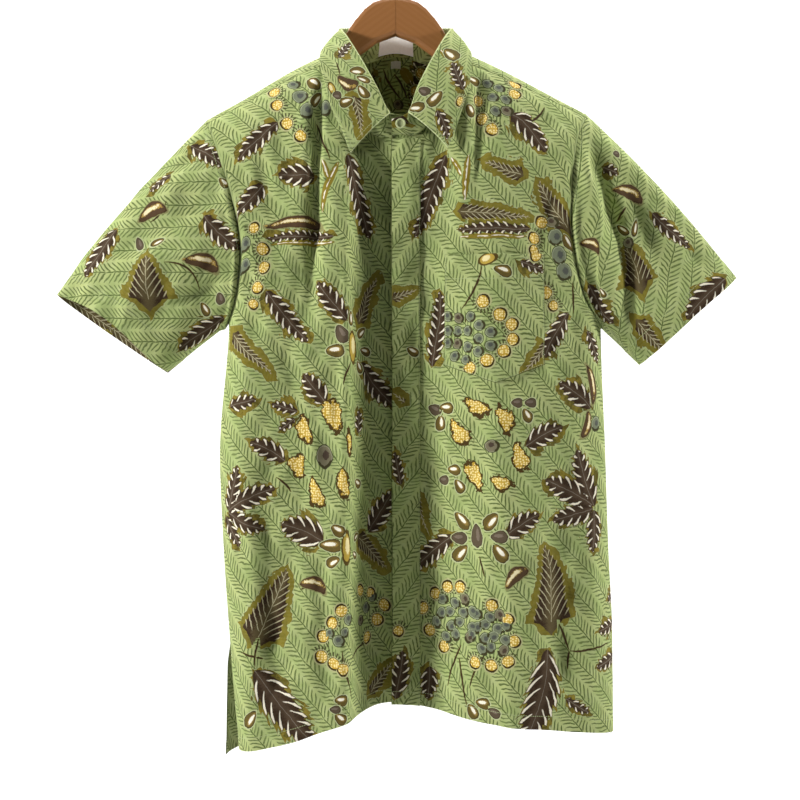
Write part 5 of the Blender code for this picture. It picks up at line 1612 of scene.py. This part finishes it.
def round_colour(g, colour, u, v, wobble, fine):
    """Petals, discs, berries and blossoms."""
    x, y, style = g.fields("dot")
    length, width, seed = g.fields("dot_size")

    def kind(first, last):
        return g.step(style, first - 0.6, first - 0.4) * g.step(style, last + 0.6, last + 0.4)

    # Places from the middle, in half lengths and half widths; petals are narrower at one end
    ex = (x / length - 0.5) * 2.0
    petal = g.high(kind(1, 2), kind(7, 7))
    ey = y / width * 2.0 / (1.0 + g.high(g.low(ex, 1.0), -1.0) * 0.28 * petal)
    bean = kind(7, 7)
    ey = ey + bean * (0.42 - ex * ex * 0.70)
    inked = g.step(style, 0.4, 0.6)
    lobed, berry, disc = kind(6, 6), kind(5, 5), kind(3, 4)
    reach = g.math("SQRT", ex * ex + ey * ey)
    reach = reach + wobble * (0.26 + lobed * 0.85) + fine * (0.10 + lobed * 0.25)
    reach = reach + g.sine(g.math("ARCTAN2", ey, ex) * 3.0 + seed * 20.0) * lobed * 0.15
    depth = (reach - 1.0) * g.low(length, width) * 0.5

    # Outline, rim, fill and lit middle
    edge = 0.85 + lobed * 0.50 + berry * 0.75
    outline = g.step(depth, edge + 0.3, edge - 0.2) * inked
    colour = g.mix(outline, colour, g.by_style(style, OUTLINES))
    colour = g.mix(g.step(depth, 0.2, -0.2) * inked, colour, g.by_style(style, RIMS))
    inner = (-0.75 - berry * (g.high(ex + ey * 0.3, 0.0) * 2.1)
             - lobed * (g.high(ex + ey * 0.6, 0.0) * 1.0 - 0.25))
    colour = g.mix(g.step(depth - inner, 0.2, -0.2) * inked, colour, g.by_style(style, FILLS))
    across = (ex + 0.10) * (ex + 0.10)
    upright = (ey + 0.20) * (ey + 0.20)
    lit = g.math("SQRT", across + upright * (1.0 + petal * 2.2 + bean * 1.6))
    lit = lit + fine * (0.35 + bean * 0.35) + wobble * bean * 0.9
    glow = g.step(lit, 0.90, 0.62) * petal * g.step(style, 1.6, 1.4) * 0.7
    glow = glow + g.step(lit, 0.84, 0.76) * bean
    colour = g.mix(glow, colour, TAN)
    middle = g.step(lit, 0.60 - disc * 0.12, 0.48 - disc * 0.12) * inked
    colour = g.mix(middle, colour, g.by_style(style, MIDDLES))

    # A dark crescent on the discs, specks on the gold and a fringe round the berries
    moon = g.step(ex + fine * 0.4, 0.30, 0.50) * g.step(depth, 0.3, 0.0)
    colour = g.mix(moon * g.step(depth, -1.9, -1.5) * disc, colour, INK)
    specks = g.step(g.cells(g.vector(u, v, 0.0), 0.34), 0.42, 0.24)
    specks = specks * g.step(depth - inner, 0.1, -0.4)
    colour = g.mix(specks * g.high(berry, lobed) * 0.95, colour, PALE_GOLD)
    hair = g.fraction(g.math("ARCTAN2", ey, ex) * 2.9 + seed)
    fringe = g.step(abs(hair - 0.5), 0.30, 0.18) * g.step(ex, 0.15, -0.25) * berry
    fringe = fringe * g.step(depth, 0.7, 1.0) * g.step(depth + wobble * 3.0, 6.2, 5.2)
    return g.mix(fringe * 0.95, colour, FRINGE)


def cloth_material():
    g = Graph("batik")
    u, v, piece = g.fields("weft")
    spot = g.vector(u, v, piece * 37.0)
    wobble = g.noise(spot, 0.17, 1.0) - 0.5
    fine = g.noise(spot, 0.75, 1.0) - 0.5
    broad = g.noise(spot, 0.035, 1.0)
    colour = ground_colour(g, spot, wobble, fine, broad)
    colour = leaf_colour(g, colour, u, v, spot, wobble, fine)
    colour = round_colour(g, colour, u, v, wobble, fine)

    # Painted shade along turned edges, armhole seams and vent gaps, a painted highlight along the
    # collar leaf's roll and edges, stitches, threads and the dye's unevenness
    gap, along, turned = g.fields("sew")
    gap = abs(gap)
    # Painted shade: a dark line within about a millimetre of a turned edge, seam or vent edge
    colour = g.mix(g.step(turned, 1.1, 0.4) * 0.8, colour, PAINTED_SHADE_GREEN)
    # Painted highlight: a pale line along the collar leaf's roll and edges
    crest = g.step(abs(turned - (PAINTED_HIGHLIGHT_OFFSET - 0.5)) + fine, 1.5, 0.9)
    colour = g.mix(crest * 0.6, colour, PAINTED_HIGHLIGHT_GREEN)
    stitch = g.step(gap, 0.50, 0.26) * g.step(abs(g.fraction(along / 2.7) - 0.5), 0.40, 0.30)
    colour = g.mix(stitch * 0.8, colour, SEWING)
    weft = g.noise(g.vector(u * 0.10, v * 1.9, piece), 1.0, 1.0) - 0.5
    warp = g.noise(g.vector(u * 1.9, v * 0.10, piece + 5.0), 1.0, 1.0) - 0.5
    thread = g.sine(u * 11.6) * g.sine(v * 11.6)
    tone = 1.0 + (weft + warp) * 0.16 + thread * 0.035
    shade = g.nodes.new("ShaderNodeVectorMath")
    shade.operation = "SCALE"
    g.put(shade.inputs[0], colour)
    g.put(shade.inputs["Scale"], tone)
    g.links.new(shade.outputs[0], g.shader.inputs["Base Color"])
    g.surface("Roughness", 0.80 + wobble * 0.10)
    g.surface("Specular IOR Level", 0.08)
    g.surface("Sheen Weight", 0.015)
    g.surface("Sheen Roughness", 0.5)
    pucker = g.step(gap, 3.2, 0.4) * g.noise(g.vector(along * 0.22, gap * 0.06, piece), 1.0, 1.0)
    height = (weft + warp) * 0.10 + thread * 0.035 - g.step(gap, 1.1, 0.1) * 0.30
    height = height + pucker * 0.45 + stitch * 0.16
    height = height + g.noise(spot, 0.05, 2.0) * 2.4 + g.noise(spot, 0.13, 2.0) * 0.6
    g.bump(height)
    return g.material


def tape_material():
    g = Graph("label tape")
    u, v, _ = g.fields("weft")
    rib = g.sine(u * 9.0)
    cross = g.sine(v * 6.5)
    worn = g.noise(g.vector(u, v, 3.0), 0.3, 2.0)
    g.surface("Base Color", g.mix(worn, (0.80, 0.80, 0.76, 1), (0.92, 0.92, 0.88, 1)))
    g.surface("Roughness", 0.6)
    g.surface("Sheen Weight", 0.15)
    g.bump(rib * 0.05 + cross * 0.04 + worn * 0.1)
    return g.material


def wood_material():
    g = Graph("hanger wood")
    x, y, z = g.split(g.object_place())
    along = g.vector(x * 9.0, y * 60.0, (z + abs(x) * 0.8) * 60.0)
    sway = g.noise(along, 0.6, 2.0)
    rings = g.sine((z * 1.0 + abs(x) * 0.72 + y * 0.4) * 900.0 + sway * 9.0)
    grain = g.noise(g.vector(x * 60.0, y * 1400.0, (z + abs(x) * 0.8) * 1400.0), 1.0, 2.0)
    colour = g.mix(g.step(rings, -1.0, 1.0), srgb(157, 105, 58), srgb(161, 109, 62))
    colour = g.mix(g.step(grain, 0.45, 0.85) * 0.16, colour, srgb(128, 80, 44))
    g.surface("Base Color", colour)
    g.surface("Roughness", 0.34 + grain * 0.14)
    g.surface("Coat Weight", 0.35)
    g.surface("Coat Roughness", 0.22)
    g.bump(grain * 0.05 + rings * 0.006)
    return g.material


def steel_material():
    g = Graph("hook steel")
    scuff = g.noise(Value(g, g.object_place()), 900.0, 3.0)
    g.surface("Base Color", g.mix(scuff, srgb(176, 176, 178), srgb(206, 206, 208)))
    g.surface("Metallic", 1.0)
    g.surface("Roughness", 0.16 + scuff * 0.16)
    g.bump(scuff * 0.02)
    return g.material


def button_material():
    g = Graph("collar button")
    cloud = g.noise(Value(g, g.object_place()), 260.0, 3.0)
    g.surface("Base Color", g.mix(cloud, srgb(158, 168, 118), srgb(196, 202, 158)))
    g.surface("Roughness", 0.22 + cloud * 0.12)
    g.surface("Coat Weight", 0.4)
    g.bump(cloud * 0.08)
    return g.material


def joint_slip(material):
    """The slip of wood in the joint of the hanger's arms; the seam shows daylight without it."""
    arm = bpy.data.objects["hanger_arm_right"]
    face = [arm.matrix_world @ v.co for v in arm.data.vertices]
    face = np.array([(p.y, p.z) for p in face if abs(p.x) < 0.2 * MM])
    middle = face.mean(axis=0)
    face = middle + (face - middle) * 0.985
    face = face[np.argsort(np.arctan2(*(face - middle).T))]
    count = len(face)
    verts = [(x, y, z) for x in (-0.14 * MM, 0.14 * MM) for y, z in face]
    faces = [tuple(range(count)), tuple(range(2 * count - 1, count - 1, -1))]
    faces += [(k, k + count, (k + 1) % count + count, (k + 1) % count) for k in range(count)]
    data = bpy.data.meshes.new("hanger_joint")
    data.from_pydata(verts, [], faces)
    data.validate()
    slip = link_mesh(data, material)
    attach(slip, "root")


def finish_hardware():
    """Materials for the button, the hanger and its hook, and the slip in its joint."""
    wood = wood_material()
    for name, material in (("collar_button", button_material()), ("hanger_arm_right", wood),
                           ("hanger_arm_left", wood), ("hanger_hook", steel_material())):
        for slot in bpy.data.objects[name].material_slots:
            slot.material = material
    joint_slip(wood)


# ---------------------------------------------------------------- camera, floor and light

CAMERA_PLACE = (0.005, -1.55, -0.529)      # metres
LENS = 60.27
WORLD_LIGHT = 0.015
LIGHTS = (
    # name, place and target in metres, size, power
    ("key", (-2.8, -1.15, 0.2), (0, 0, -0.5), 0.45, 120.0),
    ("overhead", (0.0, -0.2, 2.2), (0, 0, -0.4), 1.0, 32.0),
    ("right", (2.95, -0.55, 0.4), (0, 0, -0.5), 0.45, 91.0),
    ("behind", (2.3, 1.7, 0.7), (0, 0, -0.5), 0.6, 34.0),
    ("wall", (0.0, 1.2, 2.6), (0, 5.0, -0.6), 2.0, 330.0),
)
FLOOR = -2.3                # the stage's sizes are in metres too
HALF_STAGE = 9.0
SWEEP_START = 3.4
SWEEP = 1.6                 # radius of the floor's turn up into the backdrop
BACKDROP_TOP = 6.0


def make_camera():
    data = bpy.data.cameras.new("camera")
    data.lens = LENS
    data.sensor_width = 36.0
    camera = bpy.data.objects.new("camera", data)
    camera.location = CAMERA_PLACE
    camera.rotation_euler = (math.radians(90), 0, 0)
    bpy.context.scene.collection.objects.link(camera)
    bpy.context.scene.camera = camera


def make_light(name, place, target, size, power):
    """A soft square panel light that points from its place to a target."""
    data = bpy.data.lights.new(name, "AREA")
    data.shape = "RECTANGLE"
    data.size = size
    data.size_y = size
    data.energy = power
    light = bpy.data.objects.new(name, data)
    light.location = place
    way = Vector(target) - Vector(place)
    light.rotation_euler = way.to_track_quat("-Z", "Y").to_euler()
    bpy.context.scene.collection.objects.link(light)


def make_stage():
    """A pale floor well below the shirt that sweeps up far behind it."""
    profile = [(-HALF_STAGE, FLOOR), (SWEEP_START, FLOOR)]
    for k in range(1, 13):
        angle = math.radians(90 * k / 12)
        profile.append((SWEEP_START + SWEEP * math.sin(angle),
                        FLOOR + SWEEP * (1 - math.cos(angle))))
    profile.append((SWEEP_START + SWEEP, BACKDROP_TOP))
    verts = [(x, y, z) for y, z in profile for x in (-HALF_STAGE, HALF_STAGE)]
    faces = [(2 * k, 2 * k + 1, 2 * k + 3, 2 * k + 2) for k in range(len(profile) - 1)]
    data = bpy.data.meshes.new("backdrop")
    data.from_pydata(verts, [], faces)
    data.shade_smooth()
    paper = Graph("paper")
    paper.surface("Base Color", (0.86, 0.86, 0.86, 1))
    paper.surface("Roughness", 0.9)
    link_mesh(data, paper.material)


def make_world():
    world = bpy.data.worlds.new("room")
    world.use_nodes = True
    background = world.node_tree.nodes["Background"]
    background.inputs["Color"].default_value = (1.0, 1.0, 1.0, 1)
    background.inputs["Strength"].default_value = WORLD_LIGHT
    bpy.context.scene.world = world


def main():
    bpy.context.scene.view_settings.view_transform = "Standard"
    make_camera()
    make_stage()
    make_world()
    for row in LIGHTS:
        make_light(*row)
    panels = make_shell()
    panels["fly_placket"] = make_placket(panels["front_left"])
    panels["chest_pocket"] = make_pocket()
    panels["neck_label"], panels["size_tab"] = make_labels()
    dress_panels(panels)
    print_cloth(panels)
    materials = {"cloth": cloth_material(), "label": tape_material()}
    for name, panel in panels.items():
        kind = "label" if name in ("neck_label", "size_tab") else "cloth"
        piece = panel.build(name + "_cloth", materials[kind])
        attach(piece, "root")
        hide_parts(name)
    finish_hardware()


main()
